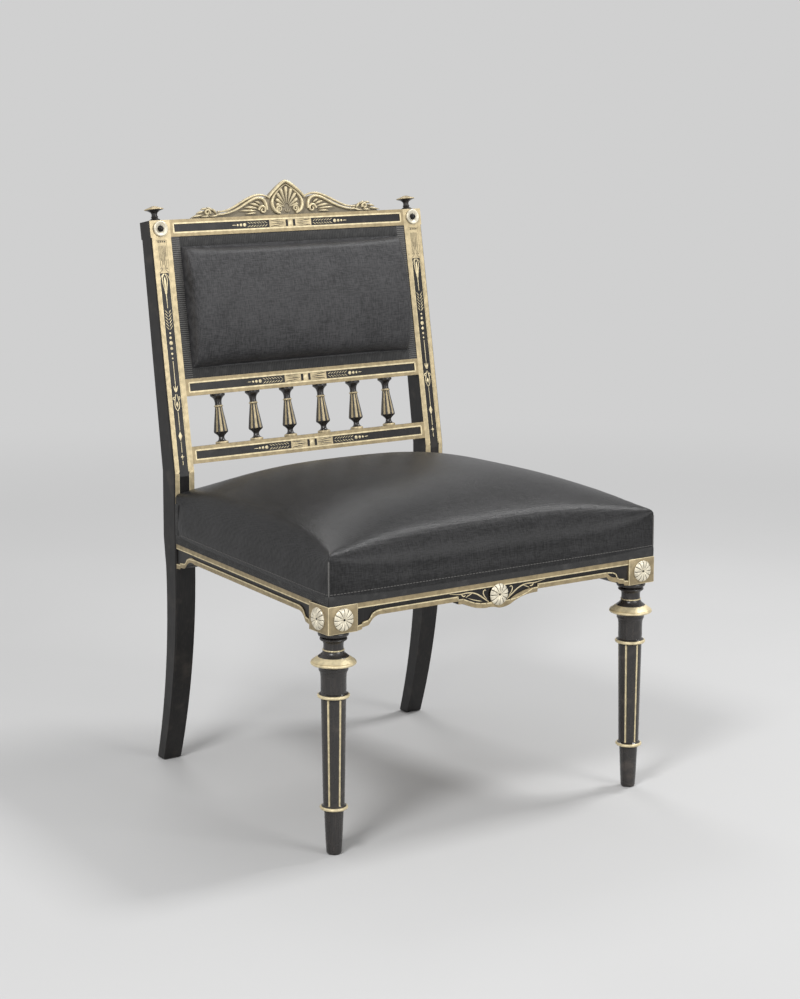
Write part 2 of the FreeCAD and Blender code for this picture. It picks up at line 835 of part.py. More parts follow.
def back_spindles():
    """Six spindles with flat-sided reeds, doweled between the middle and lower rails."""
    waste = [to(f"{width} / 2", f"{share} * spindle_height") for width, share in SPINDLE_SHAPE]
    waste += [to("spindle_body", "spindle_height"), to("spindle_body", "0")]
    row = []
    for index in range(int(number("spindles"))):
        spindle = rake(new_body(f"Spindle{index}"), spindle_x(index), "spindle_in", "lower_rail_top")
        blank = new_sketch(spindle, "XY")
        draw_circle(blank, "0", "0", "spindle_body * 1.1")
        pad(spindle, blank, "spindle_height")
        side = pocket(spindle, outline(spindle, "XZ", waste, "-spindle_body"), "spindle_body * 2")
        polar_pattern(spindle, side, "spindle_sides")
        for level, towards in (("0", -1), ("spindle_height", 1)):
            dowel = new_sketch(spindle, "XY", level)
            draw_circle(dowel, "0", "0", "spindle_dowel")
            pad(spindle, dowel, "spindle_dowel_length", towards)
        row.append(spindle)
    group(row, "back_spindles")


# Crest: a pierced-looking relief of two scrolls and a shell under a pointed arch.

CREST_SHARES = (
    # share of the half width from the middle, share of the rise, bulge
    (1.0, 0.0, 0),
    (0.95, 0.16, 0),
    (0.86, 0.29, -SOFT_SHARE),
    (0.74, 0.27, -SOFT_SHARE),
    (0.67, 0.15, 0),
    (0.52, 0.36, SLIGHT_SHARE),
    (0.36, 0.6, 0),
    (0.24, 0.56, -QUARTER_ROUND_SHARE),
    (0.165, 0.64, SOFT_SHARE),
    (0.0, 1.0, -SOFT_SHARE),
)
SPANDREL_SHARES = (
    # the sunk ground under each scroll, in shares of the half width and the rise
    (0.62, 0.06, 0),
    (0.5, 0.26, 0),
    (0.37, 0.48, 0),
    (0.25, 0.46, -SOFT_SHARE),
    (0.2, 0.3, 0),
    (0.2, 0.06, 0),
)

# How far out the eyes of the scrolls lie, in shares of the half width.
VOLUTE_SHARES = (0.83, 0.27)


def crest_corner(along, rise, bulge, sign=-1):
    """One corner of the crest from its shares, on the left by default."""
    return (f"({sign * along}) * crest_half", f"({rise}) * crest_rise", bulge)


def crest():
    """The carved crest, doweled to the top rail."""
    board = rake(new_body("Crest"), "0", "0", "back_length")
    left_half = [crest_corner(*row) for row in CREST_SHARES]
    right_half = [(f"-({across})", up, bulge) for across, up, bulge in reversed_path(left_half)][1:]
    pad(board, outline(board, "XZ", left_half + right_half), "crest_thick")
    arch = [
        arc("-shell_radius + crest_moulding", "crest_moulding", SLIGHT_SHARE),
        to("shell_radius - crest_moulding", "crest_moulding"),
        arc("shell_radius - crest_moulding", "crest_rise * 0.5", SLIGHT_SHARE),
        arc("0", "crest_rise - crest_moulding * 1.3", SLIGHT_SHARE),
        arc("-shell_radius + crest_moulding", "crest_rise * 0.5", SLIGHT_SHARE),
    ]
    pocket(board, outline(board, "XZ", arch), "crest_relief")
    for sign in (-1, 1):
        spandrel = [crest_corner(along, rise, -sign * bulge, sign)
                    for along, rise, bulge in SPANDREL_SHARES]
        pocket(board, outline(board, "XZ", spandrel), "crest_relief")
    for share in VOLUTE_SHARES:
        for sign in (-1, 1):
            scroll = new_sketch(board, "XZ", "crest_relief * 0.1")
            draw_circle(scroll, f"{sign * share} * crest_half", "volute * 0.72", "volute")
            pad(board, scroll, "crest_relief * 1.2")
    shell(board)
    sketch = new_sketch(board, "XY")
    for sign in (-1, 1):
        draw_circle(sketch, f"{sign} * crest_dowel_spacing / 2", "spindle_in", "crest_dowel + 2 * fit")
    pocket(board, sketch, "crest_dowel_length / 2 + fit")
    keep(board, "crest_carving")


def shell(board):
    """The shell, a fan of pointed lobes over the foot of the arch."""
    steps = 2 * int(number("shell_lobes"))
    fan = []
    for index in range(steps + 1):
        turn = math.pi * index / steps
        share = (NOTCH_SHARE, 1)[index % 2] * (0.9 + 0.5 * math.sin(turn))
        reach = "(shell_radius - crest_moulding * 1.8)"
        fan.append(to(f"{reach} * {share * math.cos(turn):.5f}",
                      f"crest_moulding * 1.6 + {reach} * {share * math.sin(turn):.5f}"))
    pad(board, outline(board, "XZ", fan, "crest_relief * 0.4"), "crest_relief * 0.6")


def crest_dowels():
    """The two dowels between the crest and the top rail."""
    dowels = []
    for sign in (-1, 1):
        dowel = doc.addObject("Part::Cylinder", "CrestDowel")
        bind(dowel, Radius="crest_dowel / 2", Height="crest_dowel_length")
        dowels.append(rake(dowel, f"{sign} * crest_dowel_spacing / 2", "spindle_in",
                           "back_length - crest_dowel_length / 2"))
    group(dowels, "crest_dowels")


# Finials, roundels and rosettes.

FINIAL_TURNING = (
    # diameter, share of the height
    ("finial_foot", 0.0),
    ("finial_neck", 0.25),
    ("finial_neck", 0.45),
    ("finial", 0.7),
    ("finial", 0.8),
    ("finial * 0.3", 1.0),
    ("0", 1.0),
)


def finials():
    """The turned finials on the post tops."""
    finial = rake(new_body("Finial"), "(post_in + post_out) / 2", "finial_in", "back_length")
    turning = [("0", "-finial_dowel_length"), ("finial_dowel", "-finial_dowel_length"),
               ("finial_dowel", "0")]
    turning += [(diameter, f"{share} * finial_height") for diameter, share in FINIAL_TURNING]
    revolve(finial, turning)
    group(both_sides(finial), "finials")


def face_front(item, across, back, up):
    """Turn a disc to face the front and set its back on the surface."""
    item.Placement.Rotation = FreeCAD.Rotation(FreeCAD.Vector(1, 0, 0), 90)
    return stand(item, across, back, up)


def petals(reach):
    """An outline with a tip and a notch for each petal."""
    corners = []
    count = int(number("rosette_petals"))
    for index in range(count):
        for turn, share in ((2 * math.pi * index / count, 1),
                            (2 * math.pi * (index + 0.5) / count, NOTCH_SHARE)):
            corners.append(to(f"{reach} * {share * math.cos(turn):.5f}",
                              f"{reach} * {share * math.sin(turn):.5f}"))
    return corners


def rosette(name):
    """A petalled rosette with a raised and petalled eye."""
    flower = new_body(name)
    rim = "rosette_thick * 0.6"
    pad(flower, outline(flower, "XY", petals("rosette / 2")), rim)
    pad(flower, outline(flower, "XY", petals("rosette * 0.19"), rim), "rosette_thick * 0.4")
    return flower


def rosettes():
    """The applied rosettes of the blocks and the apron, and the roundels of the stiles."""
    height = "(block_low + seat_line) / 2"
    front = rosette("FrontRosette")
    pair(face_front(front, "leg_x", "front_face", height), "front_rosette")
    side = rosette("SideRosette")
    side.Placement.Rotation = FreeCAD.Rotation(FreeCAD.Vector(0, 1, 0), 90)
    pair(stand(side, "side_face", "leg_y", height), "side_rosette")
    middle = rosette("ApronRosette")
    keep(face_front(middle, "0", "rail_front", height), "apron_rosette")
    roundel = new_body("Roundel")
    revolve(roundel, (
        ("0", "0"),
        ("roundel", "0"),
        ("roundel", "roundel_thick * 0.5"),
        ("roundel * 0.3", "roundel_thick"),
        ("0", "roundel_thick"),
    ))
    up = "back_length - back_rail / 2"
    across = "(post_in + post_out) / 2"
    bind(roundel, **{
        "Placement.Base.x": across,
        "Placement.Base.y": f"post_y + ({up}) * sine",
        "Placement.Base.z": f"bend_height + ({up}) * cosine",
    })
    roundel.Placement.Rotation = FreeCAD.Rotation(FreeCAD.Vector(1, 0, 0), 90)
    roundel.setExpression("Placement.Rotation.Angle", bound("90 - back_rake"))
    group(both_sides(roundel), "stile_roundels")


# Seat upholstery: webbing, burlap, a stuffed cushion over the frame, and gimp.

def seat_webbing():
    """Four straps across the frame and four over them from front to back."""
    straps = []
    span = "(post_y - rail_back)"
    for index in range(4):
        centre = f"rail_back + {span} * {(index + 0.5) / 4}"
        low = f"{centre} - webbing_width / 2"
        end = side_line(f"{centre} + webbing_width / 2", "cover_setback + fit")
        straps.append(upright_box((f"-({end})", low, "frame_top"),
                                  (end, f"{low} + webbing_width", "frame_top + webbing_thick")))
        across = f"post_in * {(index - 1.5) / 2}"
        straps.append(upright_box(
            (f"{across} - webbing_width / 2", "front_face + cover_setback + fit",
             "frame_top + webbing_thick"),
            (f"{across} + webbing_width / 2", "rear_rail_back - fit", "burlap_low")))
    group(straps, "seat_webbing")


def seat_plan(inset, front, back):
    """The plan of the seat between two depths, drawn in from its sides, narrowed between the posts."""
    return [
        to(f"-({side_line(front, inset)})", front),
        to(side_line(front, inset), front),
        to(side_line("post_y - ease", inset), "post_y - ease"),
        to("post_in - ease", "post_y - ease"),
        to("post_in - ease", back),
        to("-post_in + ease", back),
        to("-post_in + ease", "post_y - ease"),
        to(f"-({side_line('post_y - ease', inset)})", "post_y - ease"),
    ]


def seat_burlap():
    """The burlap sheet over the webbing."""
    sheet = new_body("SeatBurlap")
    plan = seat_plan("cover_setback + fit", "front_face + cover_setback + fit", "rear_rail_back - fit")
    pad(sheet, outline(sheet, "XY", plan, "burlap_low"), "burlap_thick")
    keep(sheet, "seat_burlap")


# How much of the crown is reached at the shoulders.
CROWN_SHARE = 0.7


def seat_cushion():
    """The stuffed seat, one soft body that caps the frame and fits round the posts."""
    half = side_line("cushion_front", "skirt_inset")
    top = "seat_line + edge_rise + edge_arch + crown"
    across = new_body("CushionAcross")
    shoulder = f"seat_line + edge_rise + (edge_arch + crown) * {CROWN_SHARE}"
    section = [
        to(f"-({half})", "seat_line"),
        to(half, "seat_line"),
        to(half, "seat_line + edge_rise"),
        arc(f"({half}) - shoulder", shoulder, SOFT_SHARE),
        arc(f"-({half}) + shoulder", shoulder, SLIGHT_SHARE * 0.7),
        arc(f"-({half})", "seat_line + edge_rise", SOFT_SHARE),
    ]
    pad(across, outline(across, "XZ", section, "cushion_front"), "cushion_back - cushion_front")
    along = new_body("CushionAlong")
    side_view = [
        to("cushion_front", "seat_line"),
        to("cushion_back", "seat_line"),
        to("cushion_back", "seat_line + edge_rise"),
        arc("cushion_back - shoulder", shoulder, SOFT_SHARE),
        arc("cushion_front + shoulder", f"({top}) - crown * {1 - CROWN_SHARE}", SLIGHT_SHARE),
        arc("cushion_front", "seat_line + edge_rise + edge_arch", SOFT_SHARE),
    ]
    pad(along, outline(along, "YZ", side_view, f"-({half})"), f"2 * ({half})")
    plan = new_body("CushionPlan")
    pad(plan, outline(plan, "XY", seat_plan("skirt_inset", "cushion_front", "cushion_back"),
                      "seat_line"), "edge_rise + edge_arch + 2 * crown")
    crowned = doc.addObject("Part::MultiCommon", "CushionCrowned")
    crowned.Shapes = [across, along, plan]
    recess = new_body("CushionRecess")
    hollow = seat_plan("cover_setback - ease", "front_face + cover_setback - ease",
                       "rear_rail_back + ease")
    pad(recess, outline(recess, "XY", hollow, "seat_line - overrun"),
        "stuffing_low - seat_line + overrun")
    keep(less(crowned, recess), "seat_cushion")


def seat_gimp():
    """The gimp band round the foot of the cover, and the short bands beside the posts."""
    band = new_body("SeatGimp")
    outer, inner = "skirt_inset - gimp_thick - fit", "skirt_inset - fit"
    front = "front_face + skirt_inset - gimp_thick - fit"
    plan = [
        to(f"-({side_line('post_y - ease', outer)})", "post_y - ease"),
        to(f"-({side_line('cushion_front', outer)})", front),
        to(side_line("cushion_front", outer), front),
        to(side_line("post_y - ease", outer), "post_y - ease"),
        to(side_line("post_y - ease", inner), "post_y - ease"),
        to(side_line("cushion_front", inner), "cushion_front - fit"),
        to(f"-({side_line('cushion_front', inner)})", "cushion_front - fit"),
        to(f"-({side_line('post_y - ease', inner)})", "post_y - ease"),
    ]
    pad(band, outline(band, "XY", plan, "seat_line"), "gimp_width")
    keep(band, "seat_gimp")
    end = new_body("EndGimp")
    low, high = "post_y - ease - end_gimp_width", "post_y - ease"
    plan = [
        to(side_line(low, outer), low),
        to(side_line(high, outer), high),
        to(side_line(high, inner), high),
        to(side_line(low, inner), low),
    ]
    pad(end, outline(end, "XY", plan, "seat_line + gimp_width"), "edge_rise - gimp_width - skirt_inset")
    pair(end, "seat_end_gimp")


# Back upholstery: a slip frame in the opening, burlap, the stuffed pad, gimp and outside cloth.

def slip_frame():
    """The four bars of the slip frame, lapped at half their thickness at the corners."""
    inner = "slip_half - slip_frame_width"
    middle = "slip_frame_setback + slip_frame_thick / 2"
    for label, low, high in (
            ("slip_frame_bottom", "slip_low", "slip_low + slip_frame_width"),
            ("slip_frame_top", "slip_top - slip_frame_width", "slip_top")):
        bar = rake(new_body("SlipRail"))
        pad(bar, outline(bar, "XZ", rectangle(f"-({inner})", low, inner, high), "slip_frame_setback"),
            "slip_frame_thick")
        pad(bar, outline(bar, "XZ", rectangle("-slip_half", low, "slip_half", high), middle),
            "slip_frame_thick / 2")
        keep(bar, label)
    upright = rake(new_body("SlipStile"))
    pad(upright, outline(upright, "XZ", rectangle(inner, "slip_low", "slip_half", "slip_top"),
                         "slip_frame_setback"), "slip_frame_thick / 2")
    clear = rectangle(inner, "slip_low + slip_frame_width", "slip_half", "slip_top - slip_frame_width")
    pad(upright, outline(upright, "XZ", clear, "slip_frame_setback"), "slip_frame_thick")
    pair(upright, "slip_frame_stile")


def raked_sheet(name, label, front, thick):
    """A sheet that covers the slip frame."""
    sheet = rake(new_body(name))
    pad(sheet, outline(sheet, "XZ", rectangle("-slip_half", "slip_low", "slip_half", "slip_top"), front),
        thick)
    keep(sheet, label)


PAD_SHARES = (
    # share of the pad's height from its foot, share of its rise
    (0.0, 0.35),
    (0.06, 0.75),
    (0.25, 1.0),
    (0.75, 1.0),
    (0.94, 0.7),
    (1.0, 0.3),
)


def pad_section(share, rise):
    """One level section of the back pad: flat back, drawn-in sides and crown."""
    half = "slip_half - back_border"
    level = f"slip_low + back_border + {share} * (slip_top - slip_low - 2 * back_border)"
    front = f"flange_front - {rise} * pad_rise"
    knee = f"{half} - pad_corner"
    return level, [
        to(f"-({half})", "flange_front"),
        arc(f"-({knee})", f"{front} + pad_rise * 0.15", QUARTER_ROUND_SHARE / 2),
        arc(knee, f"{front} + pad_rise * 0.15", 0.02),
        arc(half, "flange_front", QUARTER_ROUND_SHARE / 2),
    ]


def back_cushion():
    """The stuffed pad of the back on its flat tacked border."""
    cushion = rake(new_body("BackCushion"))
    border = rectangle("-slip_half", "slip_low", "slip_half", "slip_top")
    pad(cushion, outline(cushion, "XZ", border, "flange_front"), "flange_thick")
    sections = []
    for share, rise in PAD_SHARES:
        level, corners = pad_section(share, rise)
        sections.append(outline(cushion, "XY", corners, level))
    loft = cushion.newObject("PartDesign::AdditiveLoft", "PadLoft")
    loft.Profile = sections[0]
    loft.Sections = sections[1:]
    loft.Ruled = True
    keep(cushion, "back_cushion")


def back_gimp():
    """The gimp frame that covers the tacked border of the back."""
    frame = rake(new_body("BackGimp"))
    border = rectangle("-slip_half", "slip_low", "slip_half", "slip_top")
    pad(frame, outline(frame, "XZ", border, "flange_front - gimp_thick"), "gimp_thick")
    inset = "(back_border - ease * 3)"
    hole = rectangle(f"-slip_half + {inset}", f"slip_low + {inset}", f"slip_half - {inset}",
                     f"slip_top - {inset}")
    pocket(frame, outline(frame, "XZ", hole, "flange_front - gimp_thick - overrun"),
           "gimp_thick + 2 * overrun")
    keep(frame, "back_gimp")


rear_posts()
front_legs()
front_seat_rail()
side_seat_rails()
rear_seat_rail()
corner_braces()
back_rails()
back_spindles()
crest()
crest_dowels()
finials()
rosettes()
seat_webbing()
seat_burlap()
seat_cushion()
seat_gimp()
slip_frame()
raked_sheet("BackBurlap", "back_burlap", "slip_frame_setback - burlap_thick", "burlap_thick")
back_cushion()
back_gimp()
raked_sheet("OutsideBack", "outside_back_cloth", "slip_back", "outside_cloth")

doc.recompute()
for item in doc.Objects:
    if "Invalid" in item.State or "Error" in item.State:
        raise RuntimeError(f"{item.Name} ({item.Label}) did not build: {item.State}")
os.makedirs("parts", exist_ok=True)
for piece in pieces:
    if piece.Shape.isNull() or not piece.Shape.isValid() or piece.Shape.Volume <= 0:
        raise RuntimeError(f"{piece.Label} has no valid shape")
    piece.Shape.exportStep(os.path.join("parts", piece.Label + ".step"))
print(len(pieces), "pieces written")
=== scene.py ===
import logging
import math
from dataclasses import dataclass, field
from enum import Enum
from typing import Callable, Dict, List, Optional, Sequence, Tuple, Union

import bmesh
import bpy
from mathutils import Matrix, Vector


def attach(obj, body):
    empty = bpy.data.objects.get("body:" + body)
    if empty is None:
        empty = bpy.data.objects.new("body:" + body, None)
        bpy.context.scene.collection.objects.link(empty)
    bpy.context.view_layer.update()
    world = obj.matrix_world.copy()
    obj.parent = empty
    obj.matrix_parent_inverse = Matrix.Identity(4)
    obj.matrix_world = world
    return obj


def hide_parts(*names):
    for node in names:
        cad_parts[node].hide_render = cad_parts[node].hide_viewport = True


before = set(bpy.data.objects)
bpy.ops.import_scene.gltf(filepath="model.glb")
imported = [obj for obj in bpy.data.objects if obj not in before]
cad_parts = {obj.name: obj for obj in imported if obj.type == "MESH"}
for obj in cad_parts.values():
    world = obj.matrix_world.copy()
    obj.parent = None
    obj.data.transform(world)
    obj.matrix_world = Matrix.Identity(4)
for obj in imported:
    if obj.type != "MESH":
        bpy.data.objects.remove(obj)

log = logging.getLogger("side_chair")

MM = 0.001
WELD = 0.001
BACKDROP = 0.63
SIDES = (("right", 1), ("left", -1))
Mesh = bmesh.types.BMesh
Material = bpy.types.Material
Point = Tuple[float, float]
Triple = Tuple[float, float, float]
Surface = Callable[[float, float], Vector]
Value = Union["Shade", float, Sequence[float]]
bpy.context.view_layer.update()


class Slot(Enum):
    """The record's material slot names, passed with each remade piece but not used by it."""

    EBONY = "ebonized_wood"
    GILT = "gilded_wood"
    HAIR = "horsehair_cover"
    GIMP = "gimp_braid"
    LINEN = "jute_linen"


class Gilding(Enum):
    """How fresh a gilded surface looks: its colour and how much of it has worn."""

    PALE = ((0.90, 0.83, 0.66), 0.05)
    BRIGHT = ((0.83, 0.71, 0.45), 0.08)
    SOFT = ((0.62, 0.51, 0.31), 0.22)
    DULL = ((0.39, 0.31, 0.18), 0.34)


# Shader expressions and finishes.


class Shade:
    """A shader socket that takes part in Python expressions."""

    def __init__(self, board: "Board", socket: Optional[bpy.types.NodeSocket]) -> None:
        """Wrap a socket.

        Args:
            board: The board whose tree the socket belongs to.
            socket: The output socket to wrap, or None for a node without outputs.
        """
        self.board = board
        self.socket = socket

    def maths(self, operation: str, *values: Value) -> "Shade":
        """One Math node over these values.

        Args:
            operation: The Math node's operation.
            values: Its inputs in order.

        Returns:
            The result.
        """
        return self.board.node("ShaderNodeMath", {"operation": operation}, dict(enumerate(values)))

    def __add__(self, other: Value) -> "Shade":
        """The sum."""
        return self.maths("ADD", self, other)

    __radd__ = __add__

    def __sub__(self, other: Value) -> "Shade":
        """The difference."""
        return self.maths("SUBTRACT", self, other)

    def __rsub__(self, other: Value) -> "Shade":
        """The difference from a number on the left."""
        return self.maths("SUBTRACT", other, self)

    def __mul__(self, other: Value) -> "Shade":
        """The product."""
        return self.maths("MULTIPLY", self, other)

    __rmul__ = __mul__

    def __lt__(self, other: Value) -> "Shade":
        """1 where this is the smaller."""
        return self.maths("LESS_THAN", self, other)

    def __gt__(self, other: Value) -> "Shade":
        """1 where this is the larger."""
        return self.maths("GREATER_THAN", self, other)

    def size(self) -> "Shade":
        """The value without its sign."""
        return self.maths("ABSOLUTE", self)

    def wave(self) -> "Shade":
        """The sine."""
        return self.maths("SINE", self)

    def most(self, other: Value) -> "Shade":
        """The larger of the two."""
        return self.maths("MAXIMUM", self, other)

    def least(self, other: Value) -> "Shade":
        """The smaller of the two."""
        return self.maths("MINIMUM", self, other)

    def ramp(self, low: float, high: float, start: float = 0.0, end: float = 1.0) -> "Shade":
        """Rise smoothly from start to end as the value goes from low to high."""
        settings = {"interpolation_type": "SMOOTHSTEP"}
        values = {0: self, 1: low, 2: high, 3: start, 4: end}
        return self.board.node("ShaderNodeMapRange", settings, values)


class Board:
    """Where one node tree is put together."""

    def __init__(self, owner: Union[Material, bpy.types.World]) -> None:
        """Start with an empty tree in this material or world."""
        owner.use_nodes = True
        self.tree = owner.node_tree
        self.tree.nodes.clear()

    def node(self, kind: str, settings: Optional[Dict[str, object]] = None,
             values: Optional[Dict[Union[str, int], Value]] = None,
             output: Union[str, int] = 0) -> Shade:
        """Add a node, set it, then fill its inputs.

        Args:
            kind: The node's type.
            settings: Its properties; "stops" gives a colour ramp's (place, colour) pairs.
            values: Values or wrapped sockets for its inputs.
            output: Which output to return.

        Returns:
            The wrapped output.
        """
        made = self.tree.nodes.new(kind)
        for key, setting in (settings or {}).items():
            if key == "stops":
                for index, (place, colour) in enumerate(setting):
                    stops = made.color_ramp.elements
                    stop = stops[index] if index < len(stops) else stops.new(place)
                    stop.position, stop.color = place, (*colour, 1.0)
            else:
                setattr(made, key, setting)
        for key, value in (values or {}).items():
            if isinstance(value, Shade):
                self.tree.links.new(value.socket, made.inputs[key])
            else:
                made.inputs[key].default_value = value
        return Shade(self, made.outputs[output] if made.outputs else None)


class Bench(Board):
    """Where one finish's node tree is put together."""

    def __init__(self, name: str) -> None:
        """Start an empty material of this name."""
        self.material = bpy.data.materials.new(name)
        super().__init__(self.material)
        self.place = self.node("ShaderNodeTexCoord", output="Object")
        axes = self.node("ShaderNodeSeparateXYZ", values={0: self.place}).socket.node
        self.x, self.y, self.z = (Shade(self, socket) for socket in axes.outputs)

    def noise(self, scale: float, detail: float = 3.0, stretch: Sequence[float] = (1, 1, 1),
              offset: float = 0.0) -> Shade:
        """Fractal noise over the object, stretched along its axes.

        Args:
            scale: Features per metre.
            detail: Octaves.
            stretch: Factors on the coordinates.
            offset: Moves the pattern.

        Returns:
            The noise, about 0 to 1.
        """
        where = self.node("ShaderNodeMapping", values={
            "Vector": self.place, "Location": (offset,) * 3, "Scale": tuple(stretch)})
        return self.node("ShaderNodeTexNoise", values={"Vector": where, "Scale": scale,
                                                       "Detail": detail})

    def blend(self, share: Value, low: Value, high: Value) -> Shade:
        """A colour between low and high.

        Args:
            share: 0 gives low and 1 gives high.
            low: A colour or a wrapped colour socket.
            high: A colour or a wrapped colour socket.

        Returns:
            The blended colour.
        """
        low, high = (value if isinstance(value, Shade) else (*value, 1.0) for value in (low, high))
        return self.node("ShaderNodeMix", {"data_type": "RGBA"}, {0: share, 6: low, 7: high}, 2)

    def shader(self, colour: Value, roughness: Value, height: Optional[Shade] = None,
               relief: float = 0.2, metallic: Value = 0.0, **fixed: Value) -> Shade:
        """A principled shader.

        Args:
            colour: The base colour.
            roughness: The roughness.
            height: Drives the bump, in units of relief.
            relief: The bump's depth in millimetres.
            metallic: The metallic share.
            fixed: Constant inputs of the shader by name, with _ for spaces.

        Returns:
            The shader.
        """
        values = {"Base Color": colour if isinstance(colour, Shade) else (*colour, 1.0),
                  "Roughness": roughness, "Metallic": metallic}
        values.update({key.replace("_", " "): value for key, value in fixed.items()})
        if height is not None:
            values["Normal"] = self.node("ShaderNodeBump", values={
                "Strength": 1.0, "Distance": relief * MM, "Height": height})
        return self.node("ShaderNodeBsdfPrincipled", values=values)

    def close(self, shader: Shade) -> Material:
        """Send a shader to the output and return the finished material."""
        self.node("ShaderNodeOutputMaterial", values={0: shader})
        return self.material

    def surface(self, *inputs: Value, **fixed: Value) -> Material:
        """The finished material with a principled shader, which takes these inputs."""
        return self.close(self.shader(*inputs, **fixed))


@dataclass(frozen=True)
class EbonyLook:
    """Black polished wood: its colours, gloss and grain."""

    deep: Triple = (0.0055, 0.0050, 0.0050)
    worn: Triple = (0.030, 0.025, 0.021)
    gloss: float = 0.26
    shine: float = 0.28

    def colour(self, bench: Bench) -> Shade:
        """Black with brownish rubbed patches and a faint grain."""
        rubbed = bench.noise(38, 4).ramp(0.52, 0.78)
        grain = bench.noise(900, 2, (1, 1, 0.04)).ramp(0.45, 0.75)
        return bench.blend(rubbed.most(grain * 0.5), self.deep, self.worn)

    def roughness(self, bench: Bench) -> Shade:
        """Gloss broken by handling."""
        return bench.noise(55, 3, offset=3.1) * 0.22 + self.gloss

    def height(self, bench: Bench) -> Shade:
        """Closed pores along the grain."""
        return bench.noise(1300, 2, (1, 1, 0.05), 1.7)

    def material(self) -> Material:
        """The finish by itself."""
        bench = Bench("ebonized_wood")
        return bench.surface(self.colour(bench), self.roughness(bench), self.height(bench), 0.05,
                             0.0, Specular_IOR_Level=self.shine)


@dataclass(frozen=True)
class GiltLook:
    """Gold leaf and paint over gesso, worn in places to the dark ground."""

    gilding: Gilding = Gilding.SOFT
    ground: Triple = (0.085, 0.065, 0.045)

    def wear(self, bench: Bench) -> Shade:
        """1 where the leaf has gone."""
        share = self.gilding.value[1]
        spots = bench.noise(420, 5, offset=2.3).ramp(0.74 - share * 0.35, 0.80 - share * 0.25)
        patches = bench.noise(60, 3, offset=5.1).ramp(0.35, 0.75)
        return spots * patches

    def colour(self, bench: Bench) -> Shade:
        """Pale gold that varies from place to place and shows its ground where worn."""
        bright = self.gilding.value[0]
        aged = tuple(0.72 * part for part in bright)
        leaf = bench.blend(bench.noise(130, 4, offset=0.7).ramp(0.3, 0.7), bright, aged)
        return bench.blend(self.wear(bench), leaf, self.ground)

    def material(self) -> Material:
        """The finish by itself."""
        bench = Bench("gilded_wood_" + self.gilding.name.lower())
        rough = bench.noise(210, 3, offset=4.4) * 0.25 + 0.33
        metal = (1 - self.wear(bench)) * 0.45
        height = bench.noise(650, 3, offset=6.0) - self.wear(bench) * 0.5
        return bench.surface(self.colour(bench), rough, height, 0.12, metal)


@dataclass(frozen=True)
class ParcelGiltLook:
    """Ebonized wood with gilding on its raised front, told apart by depth behind that front."""

    name: str
    depth: Callable[[Bench], Shade]
    limit: float
    lowest: float = 0.0
    gilt: GiltLook = field(default_factory=lambda: GiltLook(Gilding.SOFT))
    ebony: EbonyLook = field(default_factory=EbonyLook)

    def material(self) -> Material:
        """Both finishes, blended by the mask."""
        bench = Bench(self.name)
        raised = (self.depth(bench) < self.limit * MM) * (bench.z > self.lowest * MM)
        colour = bench.blend(raised, self.ebony.colour(bench), self.gilt.colour(bench))
        plain = 1 - raised
        rough = self.ebony.roughness(bench) * plain + raised * 0.42
        height = bench.noise(700, 3, offset=6.0)
        metal = raised * (1 - self.gilt.wear(bench)) * 0.45
        return bench.surface(colour, rough, height, 0.08, metal, Specular_IOR_Level=0.36)


@dataclass(frozen=True)
class CarvedGiltLook:
    """Gilded carving with painted shade that darkens its hollows and the board's sides."""

    shallow: float = 1.0
    deep: float = 6.6
    gilt: GiltLook = field(default_factory=lambda: GiltLook(Gilding.BRIGHT))
    # The colour of the painted shade in the hollows and on the sides.
    shadow: Triple = (0.26, 0.22, 0.15)

    def material(self) -> Material:
        """Gold on the high parts, fading into painted shade in the hollows and on the board's sides."""
        bench = Bench("carved_gilt_painted_shade")
        depth = depth_behind_back(bench) + (bench.noise(300, 3, offset=8.0) - 0.5) * 0.002
        # Painted shade: the further a place lies behind the carving's front, the more it takes the
        # shadow colour.
        hollow = depth.ramp(self.shallow * MM, self.deep * MM)
        colour = bench.blend(hollow, self.gilt.colour(bench), self.shadow)
        height = bench.noise(650, 3, offset=6.0)
        return bench.surface(colour, hollow * 0.2 + 0.38, height, 0.12, (1 - hollow) * 0.4)


@dataclass(frozen=True)
class HorsehairLook:
    """Black horsehair cloth: a smooth satin with fine ribs and streaks of single hairs."""

    name: str
    gloss: float
    shine: float
    dark: Triple
    light: Triple
    pitch: float = 1.1

    def material(self) -> Material:
        """The cloth, with its hairs across and its picks from front to back."""
        bench = Bench(self.name)
        hairs = bench.noise(1000, 2, (1, 0.12, 0.12))
        picks = bench.noise(820, 2, (0.12, 1, 1), 2.0)
        clouds = bench.noise(24, 3, offset=4.0)
        ribs = (bench.x * (2 * math.pi / (self.pitch * MM))).wave()
        tone = (hairs * 0.45 + picks * 0.4 + clouds * 0.15).ramp(0.36, 0.64)
        colour = bench.blend(tone, self.dark, self.light)
        rough = hairs * 0.26 + picks * 0.16 + self.gloss
        height = ribs * 0.2 + hairs * 0.9 + picks * 0.7 + (bench.y * 1500).wave() * 0.1
        return bench.surface(colour, rough, height, 0.19, 0.0, Specular_IOR_Level=self.shine)


@dataclass(frozen=True)
class GimpLook:
    """Black braid, dull and a little dusty."""

    def material(self) -> Material:
        """The braid."""
        bench = Bench("gimp_braid")
        threads = bench.noise(1900, 2)
        dust = bench.noise(90, 3, offset=1.0).ramp(0.45, 0.8)
        colour = bench.blend(dust, (0.014, 0.0138, 0.0136), (0.040, 0.039, 0.038))
        return bench.surface(colour, threads * 0.2 + 0.6, threads, 0.12, 0.0, Sheen_Weight=0.2)


